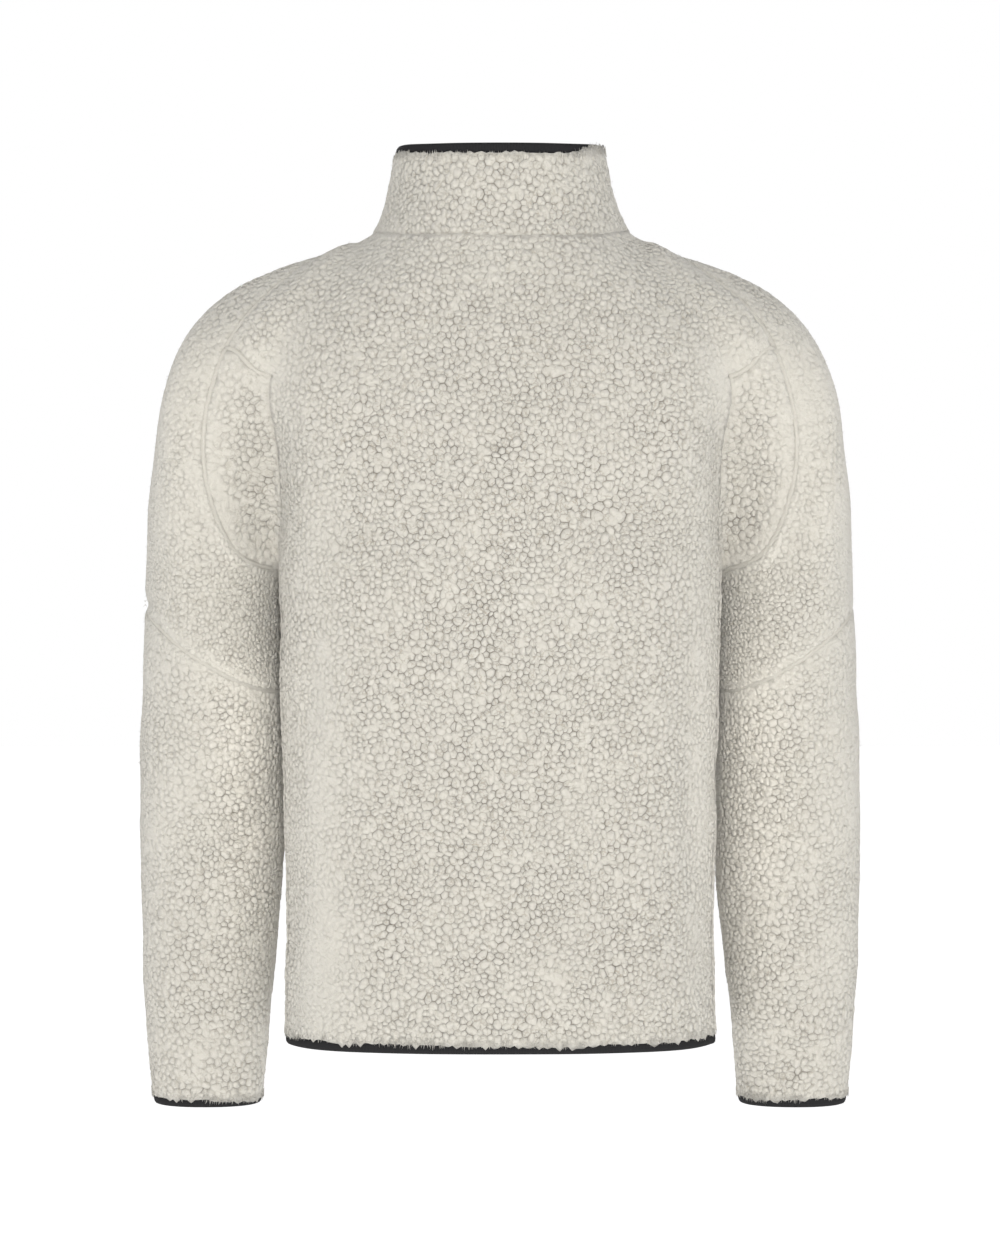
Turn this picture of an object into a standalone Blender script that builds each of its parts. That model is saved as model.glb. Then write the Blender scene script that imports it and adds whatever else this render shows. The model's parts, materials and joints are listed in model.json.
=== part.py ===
"""Hip-length sherpa jacket with a stand collar, filled out as if worn.

Metres, +Z up. +X is the wearer's right, +Y the wearer's front. The origin is the middle of the
line between the two points where the shoulder seams meet the collar.
Every panel is cut from one smooth surface, the outer reach of the pile, and is a wall behind it.
The surface is a Catmull-Clark surface that passes through the points of the section tables.
"""
import math

import bmesh
import bpy
import numpy as np
from mathutils import Matrix

# ---------------------------------------------------------------- driving dimensions, millimetres
MM = 0.001
WALL = 6.0  # backing and pile together
SEAM_GAP = 0.3
SUBDIVISIONS = 1
FITTING_ROUNDS = 12  # until the smooth surface passes through the table's points
SMOOTH_UNDER = 50  # degrees between faces that are shaded as one surface

ARMPIT_Z = -291.6
SIDE_Y = -20.0  # the torso is widest here
TORSO_SQUARENESS = 0.86
SLEEVE_SQUARENESS = 0.92
ZIP_EDGE_X = 9.0  # half the channel between the two fronts
LOWER_ROWS = 5

# Torso sections below the armpit.
TORSO_COLUMNS = ("z", "half_width", "back_y", "front_y")
TORSO = (
    (-675.5, 181.2, -121.0, 122.0),
    (-600.0, 178.8, -123.0, 123.0),
    (-500.0, 181.0, -125.0, 126.0),
    (-400.0, 184.0, -129.0, 131.0),
    (-291.6, 185.5, -134.0, 138.0),
)
# Angle round each half of the torso section, from the centre back, of the lines that run up it.
# Line 4 is the side panel's back seam, 6 to 8 pass under the arm, 8 is its front seam, 14 the zip.
LINE_ANGLES = (0, 14, 31, 56, 85, 92, 100, 110, 120, 129, 139, 149, 159, 168.5, None)
SIDE_BACK, ARM_BACK, ARM_UNDER, ARM_FRONT, ZIP = 4, 6, 7, 8, 14
NECK_BACK, NECK_FRONT = 3, 11  # the lines that end where shoulder seam and collar meet
LINES_BACK = tuple(range(0, ARM_BACK + 1))
LINES_FRONT = tuple(range(ARM_FRONT, ZIP + 1))
SHORT_SEAM_ROW = 4  # the row where the side panel ends, above the crease behind the arm

# Rows up the back from the armpit to the neck and shoulder: centre back, the rounding of the back,
# the body's edge with the crease behind the arm, the arm side of the crease, the armhole seam.
BACK_COLUMNS = ("centre_y", "centre_z", "round_x", "round_y", "round_z", "edge_x", "edge_y", "edge_z",
                "crease_x", "crease_y", "crease_z", "armhole_x", "armhole_y", "armhole_z")
BACK = (
    (-135, -247, 162, -82, -248, 185, -36, -251, 193.5, -16, -263, 214.0, -34, -276),
    (-134, -204, 162, -87, -205, 186, -41, -209, 207.0, -34, -221, 239.5, -47, -234.5),
    (-130, -161, 163, -91, -163, 189, -51, -167, 215.5, -52, -171, 248.5, -53.5, -172),
    (-121, -116, 163, -88, -119, 191.5, -65, -124, 212.0, -63.5, -112, 230.0, -54, -99),
    (-106, -62, 139, -64, -50, 160.0, -54, -48, 177.0, -46, -48, 192.0, -34, -48),
    (-88, -8, 110.5, 0, 0, 125.0, 2, -6.5, 139.0, 3, -12.5, 153.0, 4, -18),
)
# The same rows up the front: armhole seam, front of the arm crease, chest edge, chest, centre front.
FRONT_COLUMNS = ("armhole_x", "armhole_y", "armhole_z", "crease_x", "crease_y", "crease_z",
                 "chest_x", "chest_y", "chest_z", "round_x", "round_y", "round_z",
                 "centre_y", "centre_z")
FRONT = (
    (190, 78, -262, 170, 79, -258, 146, 94, -251, 116, 114, -248, 139.5, -247),
    (203, 88, -214, 180, 83, -212, 154, 94, -208, 120, 110, -205, 138, -204),
    (205, 88, -160, 183, 82, -162, 157, 89, -163, 122, 103, -163, 131, -163),
    (198, 77, -106, 178, 74, -112, 154, 80, -115, 122, 90, -117, 119, -128),
    (179, 49, -54, 161, 52, -54, 142, 54, -54, 121, 59, -54, 107, -95),
    (153, 4, -18, 139, 3, -12.5, 125, 2, -6.5, 110.5, 0, 0, 97, -66),
)
# How far between centre and rounding the two lines in between lie. The curve there mixes a round
# one and a soft one.
BETWEEN = (0.36, 0.68)
ROUND_SHARE, ROUND_POWER, SOFT_POWER = 0.38, 2.2, 1.7
NECK_LINE_BACK = ((44, -80.5, -7), (85, -52, -4.2))
NECK_LINE_FRONT = ((95, 45, -27), (55, 83, -57))

# Sleeve rings from the armhole to the cuff: outer, back, inner and front points.
SLEEVE_COLUMNS = ("outer_x", "outer_y", "outer_z", "back_x", "back_y", "back_z",
                  "inner_x", "inner_y", "inner_z", "front_x", "front_y", "front_z", "armhole_share")
SLEEVE = (
    (212.5, 8, -39, 254.0, -49, -216, 181.5, 35.5, -305, 222, 94, -196, 0.60),
    (263.0, 12, -83, 257.0, -47.5, -240, 182.5, 35, -322, 233, 96, -218, 0.30),
    (288.0, 17, -160, 254.5, -46.5, -275, 182.5, 35, -342, 240, 97, -254, 0.10),
    (298.5, 21.5, -238, 249.5, -45.5, -318, 182.5, 35, -363, 243, 97, -300, 0.0),
    (302.5, 26, -315, 245.0, -44, -366, 182.5, 36, -385, 243, 97, -345, 0.0),
    (306.0, 31, -385, 245.0, -37, -420, 182.5, 39, -432, 244, 98, -402, 0.0),
    (308.5, 37, -455, 246.0, -27, -478, 183.0, 43, -486, 246, 100, -464, 0.0),
    (309.0, 43, -523, 247.0, -16, -538, 184.5, 47, -543, 247, 101, -528, 0.0),
    (308.5, 50, -590, 249.0, -4, -599, 190.5, 52, -603, 249, 101, -592, 0.0),
    (306.0, 57, -660, 251.5, 10, -668, 198.5, 58, -670, 251, 101, -661, 0.0),
    (301.0, 62, -735.5, 252.5, 23, -737, 204.5, 62, -735.5, 252, 101, -734.5, 0.0),
)
ARMHOLE_MIDDLE = ((246, -50.5, -203), (204.5, 88.5, -187))  # back and front, halfway round
ELBOW_RING = 5

# Collar rings above the neck seam: share of the way up, and how the outline narrows on the way.
COLLAR_RINGS = ((0.32, 0.50), (0.66, 0.80), (1.0, 1.0))
COLLAR_TOP_BACK = ((0, -77, 61.5), (37, -70.5, 62.0), (71, -46, 64.0), (90.5, -1, 66.0))
COLLAR_TOP_FRONT = ((78, 40, 53), (46, 72, 27), (9, 82, 12))

# Bound edges: a folded knit tape, drawn as (below the panel's outer face, past its edge).
BINDING_SECTION = ((-1.6, 0.3), (-1.2, 4.4), (-3.4, 8.6), (-5.4, 4.4), (-5.2, 0.3))

ZIP_TAPE_THICK = 1.2
ZIP_TAPE_REACH = 16.0  # from the middle, under the front's edge
ZIP_TAPE_GAP = 0.7
SLIDER_WIDTH, SLIDER_LENGTH, SLIDER_THICK, SLIDER_ROUND = 8.6, 11.5, 3.2, 2.2
SLIDER_BELOW_TOP = 11.0
BRIDGE_WIDTH, BRIDGE_LEG, BRIDGE_ROOF, BRIDGE_ROUND, BRIDGE_SUNK = 2.6, 1.2, 1.2, 0.9, 0.6
BRIDGE_HOLE_LONG, BRIDGE_HOLE_HIGH, BRIDGE_BELOW_AXIS = 3.4, 2.6, 1.3
PULL_WIDTH, PULL_LENGTH, PULL_THICK, PULL_ROUND = 6.4, 27.0, 1.2, 1.5
PULL_SLOT_WIDTH, PULL_SLOT_END, PULL_SLOT_ROUND, PULL_BAR = 3.4, 5.2, 0.4, 1.4

SIDES = {"left": -1, "right": 1}
CUFF_LINE_Z = -700.0
EDGE_REACH = 0.6  # how near a point lies to the edge it belongs to
WELD = 0.001

COLOURS = {
    "pile": ((0.78, 0.74, 0.66), 0.95, 0.0),
    "binding": ((0.025, 0.025, 0.027), 0.8, 0.0),
    "zip_tape": ((0.03, 0.03, 0.032), 0.85, 0.0),
    "zip_metal": ((0.05, 0.05, 0.055), 0.4, 0.9),
}


# ---------------------------------------------------------------- section points
def power(value, exponent):
    return math.copysign(abs(value) ** exponent, value)


def interpolate(table, z):
    """The columns after z, at a height between two rows, along a smooth curve."""
    rows = np.array(table, float)
    heights = rows[:, 0]
    slopes = np.gradient(rows[:, 1:], heights, axis=0)
    i = int(np.clip(np.searchsorted(heights, z) - 1, 0, len(rows) - 2))
    step = heights[i + 1] - heights[i]
    t = (z - heights[i]) / step
    a, b = rows[i, 1:], rows[i + 1, 1:]
    return (
        (2 * t**3 - 3 * t**2 + 1) * a
        + (t**3 - 2 * t**2 + t) * step * slopes[i]
        + (3 * t**2 - 2 * t**3) * b
        + (t**3 - t**2) * step * slopes[i + 1]
    )


def torso_point(line, z):
    """Where one line up the torso crosses the section at height z, on the right half."""
    half_width, back_y, front_y = interpolate(TORSO, z)
    if line == ZIP:
        angle = math.pi - math.asin((ZIP_EDGE_X / half_width) ** (1 / TORSO_SQUARENESS))
    else:
        angle = math.radians(LINE_ANGLES[line])
    reach = (back_y if angle < math.pi / 2 else front_y) - SIDE_Y
    x = half_width * math.sin(angle) ** TORSO_SQUARENESS
    y = SIDE_Y + reach * abs(math.cos(angle)) ** TORSO_SQUARENESS
    return x, y, z


def rounded(start, end, share):
    """A point between two, on a curve that leaves start sideways."""
    x = start[0] + (end[0] - start[0]) * share
    drop = 1 - (1 - share**ROUND_POWER) ** (1 / ROUND_POWER)
    edge = ROUND_SHARE * drop + (1 - ROUND_SHARE) * share**SOFT_POWER
    return x, start[1] + (end[1] - start[1]) * edge, start[2] + (end[2] - start[2]) * share


def back_point(line, row):
    """A point of the upper back: row 0 is at the armpit."""
    if row == 0:
        return torso_point(line, ARMPIT_Z)
    r = dict(zip(BACK_COLUMNS, BACK[row - 1]))
    centre, bend = (0, r["centre_y"], r["centre_z"]), (r["round_x"], r["round_y"], r["round_z"])
    if line in (1, 2):
        if row == len(BACK):
            return NECK_LINE_BACK[line - 1]
        return rounded(centre, bend, BETWEEN[line - 1])
    named = {0: centre, 3: bend}
    for at, name in ((4, "edge"), (5, "crease"), (6, "armhole")):
        named[at] = tuple(r[f"{name}_{axis}"] for axis in "xyz")
    return named[line]


def front_point(line, row):
    """A point of the upper front: row 0 is at the armpit."""
    if row == 0:
        return torso_point(line, ARMPIT_Z)
    r = dict(zip(FRONT_COLUMNS, FRONT[row - 1]))
    centre = (ZIP_EDGE_X, r["centre_y"], r["centre_z"])
    if line in (12, 13):
        if row == len(FRONT):
            return NECK_LINE_FRONT[line - 12]
        return rounded(centre, (r["round_x"], r["round_y"], r["round_z"]), BETWEEN[13 - line])
    if line == ZIP:
        return centre
    name = {8: "armhole", 9: "crease", 10: "chest", 11: "round"}[line]
    return tuple(r[f"{name}_{axis}"] for axis in "xyz")


def ring_point(outer, back, inner, front, angle):
    """A point of a ring that passes through four points a quarter turn apart."""
    outer, back, inner, front = (np.array(p, float) for p in (outer, back, inner, front))
    centre = (outer + inner) / 2
    c, s = power(math.cos(angle), SLEEVE_SQUARENESS), power(math.sin(angle), SLEEVE_SQUARENESS)
    saddle = (back + front) / 2 - centre
    return centre + (outer - inner) / 2 * c + (back - front) / 2 * s + saddle * s * s


# ---------------------------------------------------------------- the cage
class Cage:
    """Points and four-sided faces, each face with the name of its panel."""

    def __init__(self):
        self.points, self.index, self.faces, self.panels, self.sharp = [], {}, [], [], set()

    def point(self, key, place):
        if key not in self.index:
            self.index[key] = len(self.points)
            self.points.append(np.array(place, float))
        return self.index[key]

    def face(self, panel, corners, side):
        """Corners run anticlockwise from outside on the right half."""
        self.faces.append(corners if side > 0 else corners[::-1])
        self.panels.append(panel)


def mirrored(place, side):
    return side * place[0], place[1], place[2]


def torso_cage(cage, side):
    """The half of the torso on one side. Returns the keys of the armhole and of the neck."""
    word = "right" if side > 0 else "left"
    rows = len(BACK)
    own = {}

    def key(line, row, part):
        if line == 0:
            return ("back middle", row)
        if row == rows and line in LINES_BACK[NECK_BACK:] + LINES_FRONT[: NECK_FRONT - ARM_FRONT + 1]:
            return ("shoulder", side, line if line <= ARM_BACK else ARM_BACK - (line - ARM_FRONT))
        return (part if row > 0 else "body", side, line, row)

    def add(line, row, part, place):
        own[line, row, part] = cage.point(key(line, row, part), mirrored(place, side))

    heights = np.linspace(TORSO[0][0], ARMPIT_Z, LOWER_ROWS + 1)
    for line in range(len(LINE_ANGLES)):
        for k, z in enumerate(heights):
            add(line, k - LOWER_ROWS, "body", torso_point(line, z))
    for row in range(1, rows + 1):
        for line in LINES_BACK:
            add(line, row, "upper", back_point(line, row))
        for line in LINES_FRONT:
            add(line, row, "upper", front_point(line, row))

    def at(line, row):
        return own[line, row, "upper" if row > 0 else "body"]

    def quad(panel, line, row):
        corners = [at(line, row), at(line + 1, row), at(line + 1, row + 1), at(line, row + 1)]
        cage.face(panel, corners, side)

    for row in range(-LOWER_ROWS, rows):
        for line in range(ZIP):
            if row >= 0 and ARM_BACK <= line < ARM_FRONT:
                continue
            if line >= ARM_FRONT:
                panel = f"front_{word}"
            elif SIDE_BACK <= line and row < SHORT_SEAM_ROW:
                panel = f"side_panel_{word}"
            else:
                panel = "back"
            quad(panel, line, row)
    armhole = [at(ARM_BACK, row) for row in range(rows, 0, -1)]
    armhole += [at(ARM_BACK, 0), at(ARM_UNDER, 0), at(ARM_FRONT, 0)]
    armhole += [at(ARM_FRONT, row) for row in range(1, rows)]
    neck = [at(line, rows) for line in LINES_BACK[: NECK_BACK + 1]]
    neck += [at(line, rows) for line in range(NECK_FRONT + 1, ZIP + 1)]
    return armhole, neck


def sleeve_cage(cage, side, armhole):
    word = "right" if side > 0 else "left"
    count = len(armhole)
    angles = [2 * math.pi * k / count for k in range(count)]
    top, under = cage.points[armhole[0]], cage.points[armhole[count // 2]]
    first = []
    for angle in angles:
        back, front = (mirrored(p, side) for p in ARMHOLE_MIDDLE)
        first.append(ring_point(top, back, under, front, angle))
    rings = [armhole]
    for number, values in enumerate(SLEEVE, 1):
        r = dict(zip(SLEEVE_COLUMNS, values))
        four = [
            mirrored([r[f"{name}_{axis}"] for axis in "xyz"], side)
            for name in ("outer", "back", "inner", "front")
        ]
        ring = []
        for k, angle in enumerate(angles):
            leftover = cage.points[armhole[k]] - first[k]
            place = ring_point(*four, angle) + leftover * r["armhole_share"]
            ring.append(cage.point(("sleeve", side, number, k), place))
        rings.append(ring)
    for number in range(len(SLEEVE)):
        part = "upper" if number < ELBOW_RING else "lower"
        upper, lower = rings[number], rings[number + 1]
        for k in range(count):
            m = (k + 1) % count
            cage.face(f"sleeve_{part}_{word}", [lower[k], lower[m], upper[m], upper[k]], -side)


def collar_cage(cage, side, neck):
    top = COLLAR_TOP_BACK + COLLAR_TOP_FRONT
    rings = [neck]
    for ring, (share, narrowing) in enumerate(COLLAR_RINGS, 1):
        line = []
        for k, index in enumerate(neck):
            base, end = cage.points[index], np.array(mirrored(top[k], side))
            flat = base + (end - base) * narrowing
            place = (flat[0], flat[1], base[2] + (end[2] - base[2]) * share)
            name = ("collar middle", ring) if k == 0 else ("collar", side, ring, k)
            line.append(cage.point(name, place))
        rings.append(line)
    for lower, upper in zip(rings, rings[1:]):
        for k in range(len(neck) - 1):
            cage.face("collar", [lower[k], lower[k + 1], upper[k + 1], upper[k]], side)
    cage.sharp |= {tuple(sorted(pair)) for pair in zip(neck, neck[1:])}


def build_cage():
    cage = Cage()
    for side in (1, -1):
        armhole, neck = torso_cage(cage, side)
        sleeve_cage(cage, side, armhole)
        collar_cage(cage, side, neck)
    return cage


# ---------------------------------------------------------------- the smooth surface
class Surface:
    """Quads with edge tables, for Catmull-Clark subdivision with sharp seams."""

    def __init__(self, quads, count, sharp):
        self.quads = np.array(quads)
        ends = np.stack([self.quads, np.roll(self.quads, -1, axis=1)], axis=2)
        ends = np.sort(ends, axis=2).reshape(-1, 2)
        self.edges, inverse, uses = np.unique(ends, axis=0, return_inverse=True, return_counts=True)
        self.face_edges = inverse.reshape(-1, 4)
        codes = self.edges[:, 0] * count + self.edges[:, 1]
        wanted = np.array(sorted(a * count + b for a, b in sharp), int)
        self.border = (uses == 1) | np.isin(codes, wanted)
        self.count = count
        self.border_count = np.bincount(self.edges[self.border].ravel(), minlength=count)
        self.valence = np.bincount(self.edges.ravel(), minlength=count)
        self.face_count = np.bincount(self.quads.ravel(), minlength=count)

    def gather(self, index, values):
        total = np.zeros((self.count, 3))
        np.add.at(total, index, values)
        return total

    def border_sum(self, points):
        a, b = self.edges[self.border].T
        return self.gather(a, points[b]) + self.gather(b, points[a])

    def limit(self, points):
        """Where each point ends up on the smooth surface."""
        a, b = self.edges.T
        n = self.valence[:, None]
        around = self.gather(a, points[b]) + self.gather(b, points[a])
        across = self.gather(self.quads.ravel(), points[np.roll(self.quads, 2, axis=1)].reshape(-1, 3))
        smooth = (n * n * points + 4 * around + across) / (n * (n + 5))
        along = (4 * points + self.border_sum(points)) / 6
        done = np.where((self.border_count == 2)[:, None], along, smooth)
        corner = (self.face_count == 1) | (self.border_count > 2) | (self.border_count == 1)
        done[corner] = points[corner]
        return done

    def subdivide(self, points):
        """The next, finer mesh: points, quads and sharp edges."""
        centres = points[self.quads].mean(axis=1)
        a, b = self.edges.T
        middles = (points[a] + points[b]) / 2
        sums = np.zeros_like(middles)
        np.add.at(sums, self.face_edges.ravel(), np.repeat(centres, 4, axis=0))
        inside = ~self.border
        edge_points = middles.copy()
        edge_points[inside] = (points[a] + points[b] + sums)[inside] / 4
        n = self.valence[:, None]
        face_mean = self.gather(self.quads.ravel(), np.repeat(centres, 4, axis=0))
        face_mean = face_mean / np.maximum(self.face_count, 1)[:, None]
        edge_mean = (self.gather(a, middles) + self.gather(b, middles)) / n
        moved = (face_mean + 2 * edge_mean + (n - 3) * points) / n
        along = (6 * points + self.border_sum(points)) / 8
        moved = np.where((self.border_count == 2)[:, None], along, moved)
        corner = (self.face_count == 1) | (self.border_count > 2) | (self.border_count == 1)
        moved[corner] = points[corner]
        everything = np.concatenate([moved, edge_points, centres])
        e, f = self.count + self.face_edges, self.count + len(self.edges) + np.arange(len(self.quads))
        quads = np.stack(
            [np.stack([self.quads[:, k], e[:, k], f, e[:, k - 1]], axis=1) for k in range(4)], axis=1
        ).reshape(-1, 4)
        split = np.nonzero(self.border)[0]
        sharp = {(int(self.edges[i, k]), int(self.count + i)) for i in split for k in (0, 1)}
        return everything, quads, sharp


def smooth_surface(cage, levels):
    """The cage's surface after some subdivisions, with every point on the smooth surface."""
    target = np.array(cage.points)
    surface = Surface(cage.faces, len(target), cage.sharp)
    points = target.copy()
    for _ in range(FITTING_ROUNDS):
        points += target - surface.limit(points)
    panels = np.array(cage.panels)
    for _ in range(levels):
        points, quads, sharp = surface.subdivide(points)
        panels = np.repeat(panels, 4)
        surface = Surface(quads, len(points), sharp)
    return surface.limit(points), surface.quads, panels


def normals_of(points, quads):
    """Outward unit normal at each point, shared by the panels that meet there."""
    a, b, c, d = (points[quads[:, k]] for k in range(4))
    face = np.cross(c - a, d - b)
    face = face / np.linalg.norm(face, axis=1, keepdims=True)
    total = np.zeros_like(points)
    np.add.at(total, quads.ravel(), np.repeat(face, 4, axis=0))
    return total / np.linalg.norm(total, axis=1, keepdims=True)


# ---------------------------------------------------------------- panels as walls
def border_loops(quads):
    """The directed border edges of a set of faces, each with its face."""
    seen = {}
    for f, quad in enumerate(quads):
        for k in range(4):
            seen[int(quad[k]), int(quad[(k + 1) % 4])] = f
    return {edge: f for edge, f in seen.items() if (edge[1], edge[0]) not in seen}


def pulled_back(points, quads, distance):
    """Moves the border of a set of faces inward along the surface."""
    directions = {}
    for (a, b), f in border_loops(quads).items():
        along = points[b] - points[a]
        along = along / np.linalg.norm(along)
        inward = points[quads[f]].mean(axis=0) - points[a]
        inward = inward - along * np.dot(inward, along)
        inward = inward / np.linalg.norm(inward)
        for end in (a, b):
            directions.setdefault(end, []).append(inward)
    moved = points.copy()
    for index, found in directions.items():
        first, second = found[0], found[-1]
        moved[index] += (first + second) / (1 + np.dot(first, second)) * distance
    return moved


def new_object(name, points, faces, material, collection):
    mesh = bpy.data.meshes.new(name)
    mesh.from_pydata([tuple(p * MM) for p in points], [], faces)
    mesh.update()
    mesh.shade_smooth()
    mesh.set_sharp_from_angle(angle=math.radians(SMOOTH_UNDER))
    obj = bpy.data.objects.new(name, mesh)
    obj.data.materials.append(material)
    collection.objects.link(obj)
    return obj


def wall(name, points, normals, quads, material, collection):
    """A closed wall behind one panel of the surface."""
    outer = pulled_back(points, quads, SEAM_GAP / 2)
    used, local = np.unique(quads, return_inverse=True)
    local = local.reshape(-1, 4)
    front = outer[used]
    behind = front - normals[used] * WALL
    n = len(used)
    faces = [tuple(int(i) for i in q) for q in local]
    faces += [tuple(int(i) + n for i in q[::-1]) for q in local]
    for a, b in border_loops(local):  # split the same way on both sides of a seam
        if used[a] < used[b]:
            faces += [(b, a, b + n), (a, a + n, b + n)]
        else:
            faces += [(b, a, a + n), (b, a + n, b + n)]
    return new_object(name, np.concatenate([front, behind]), faces, material, collection)


def border_chain(quads, test):
    """Border points in order, from the border edges that pass a test. True if they close."""
    following = {a: b for a, b in border_loops(quads) if test(a) and test(b)}
    starts = [a for a in following if a not in following.values()]
    closed = not starts
    at = min(following) if closed else starts[0]
    chain = [at]
    while following.get(chain[-1]) is not None and following[chain[-1]] != chain[0]:
        chain.append(following[chain[-1]])
    return chain, closed


def sweep(name, rings, closed, material, collection):
    """A solid through equal rings of points, capped unless it closes on itself."""
    count, size = len(rings), len(rings[0])
    faces = []
    for i in range(count if closed else count - 1):
        j = (i + 1) % count
        for k in range(size):
            m = (k + 1) % size
            faces.append((i * size + k, i * size + m, j * size + m, j * size + k))
    if not closed:
        faces.append(tuple(range(size))[::-1])
        faces.append(tuple((count - 1) * size + k for k in range(size)))
    return new_object(name, np.concatenate(rings), faces, material, collection)


def binding(name, points, normals, chain, closed, material, collection):
    """The folded tape along a bound edge. The chain runs with the panel on its left."""
    rings = []
    count = len(chain)
    for i, index in enumerate(chain):
        before = points[chain[i - 1]] if closed or i else points[index]
        after = points[chain[(i + 1) % count]] if closed or i < count - 1 else points[index]
        along = after - before
        normal = normals[index] - along * np.dot(normals[index], along) / np.dot(along, along)
        normal = normal / np.linalg.norm(normal)
        past = np.cross(along, normal)
        past = past / np.linalg.norm(past)
        rings.append(np.array([points[index] + normal * n + past * t for n, t in BINDING_SECTION]))
    return sweep(name, rings, closed, material, collection)


# ---------------------------------------------------------------- the zip
def front_edge(side, points, normals, quads):
    """Along one front edge from hem to collar top: places behind the lip of the wall, directions
    out of the front, and places behind the wall where the tape ends."""
    edge = {int(i) for i in np.unique(quads) if abs(points[i][0] - side * ZIP_EDGE_X) < EDGE_REACH}
    beside = {}
    for quad in quads:
        for k in range(4):
            for a, b in ((quad[k], quad[k - 1]), (quad[k - 1], quad[k])):
                if int(a) in edge and int(b) not in edge:
                    beside[int(a)] = int(b)
    lips, outward, ends = [], [], []
    for index in sorted(edge, key=lambda i: points[i][2]):
        here, there = (points[i] - normals[i] * WALL for i in (index, beside[index]))
        share = (ZIP_TAPE_REACH - ZIP_EDGE_X) / abs(there[0] - here[0])
        lips.append(here)
        ends.append(here + (there - here) * share)
        outward.append(np.array([0, *normals[index][1:]]) / np.linalg.norm(normals[index][1:]))
    return np.array(lips), np.array(outward), np.array(ends)


def zip_tape(word, side, edge, material, collection):
    """The flat tape behind one front edge, from hem to collar top."""
    rings = []
    for lip, normal, end in zip(*edge):
        middle = np.array([side * SEAM_GAP / 2, lip[1], lip[2]])
        outer = [p - normal * ZIP_TAPE_GAP for p in (middle, lip, end)]
        inner = [p - normal * ZIP_TAPE_THICK for p in outer]
        rings.append(np.array(outer + inner[::-1]))
    if side > 0:
        rings.reverse()
    return sweep(f"zip_tape_{word}", rings, False, material, collection)


def arc(centre, radius, start, end, steps=4):
    angles = [math.radians(start + (end - start) * k / steps) for k in range(steps + 1)]
    return [(centre[0] + radius * math.cos(a), centre[1] + radius * math.sin(a)) for a in angles]


def rounded_outline(left, right, low, high, radius):
    """A box with round corners, anticlockwise."""
    outline = arc((right - radius, high - radius), radius, 0, 90)
    outline += arc((left + radius, high - radius), radius, 90, 180)
    outline += arc((left + radius, low + radius), radius, 180, 270)
    return outline + arc((right - radius, low + radius), radius, 270, 360)


def plate(name, outlines, thick, place, material, collection):
    """A flat outline, less its holes, as a solid of some thickness about its own plane."""
    curve = bpy.data.curves.new(name, "CURVE")
    curve.dimensions = "2D"
    curve.fill_mode = "BOTH"
    curve.extrude = thick / 2 * MM
    for outline in outlines:
        spline = curve.splines.new("POLY")
        spline.points.add(len(outline) - 1)
        spline.use_cyclic_u = True
        for point, (u, v) in zip(spline.points, outline):
            point.co = (u * MM, v * MM, 0, 1)
    holder = bpy.data.objects.new(name, curve)
    collection.objects.link(holder)
    mesh = bpy.data.meshes.new_from_object(holder.evaluated_get(bpy.context.evaluated_depsgraph_get()))
    bpy.data.objects.remove(holder)
    bm = bmesh.new()
    bm.from_mesh(mesh)
    bmesh.ops.remove_doubles(bm, verts=bm.verts, dist=WELD * MM)
    bmesh.ops.recalc_face_normals(bm, faces=bm.faces)
    bm.to_mesh(mesh)
    bm.free()
    mesh.materials.clear()
    mesh.materials.append(material)
    obj = bpy.data.objects.new(name, mesh)
    obj.matrix_world = place
    collection.objects.link(obj)
    return obj


def placed(origin, first, second):
    """A place whose own X and Y run along two directions."""
    third = np.cross(first, second)
    matrix = Matrix.Identity(4)
    for column, axis in enumerate((first, second, third)):
        for row in range(3):
            matrix[row][column] = axis[row]
    for row in range(3):
        matrix[row][3] = origin[row] * MM
    return matrix


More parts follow.
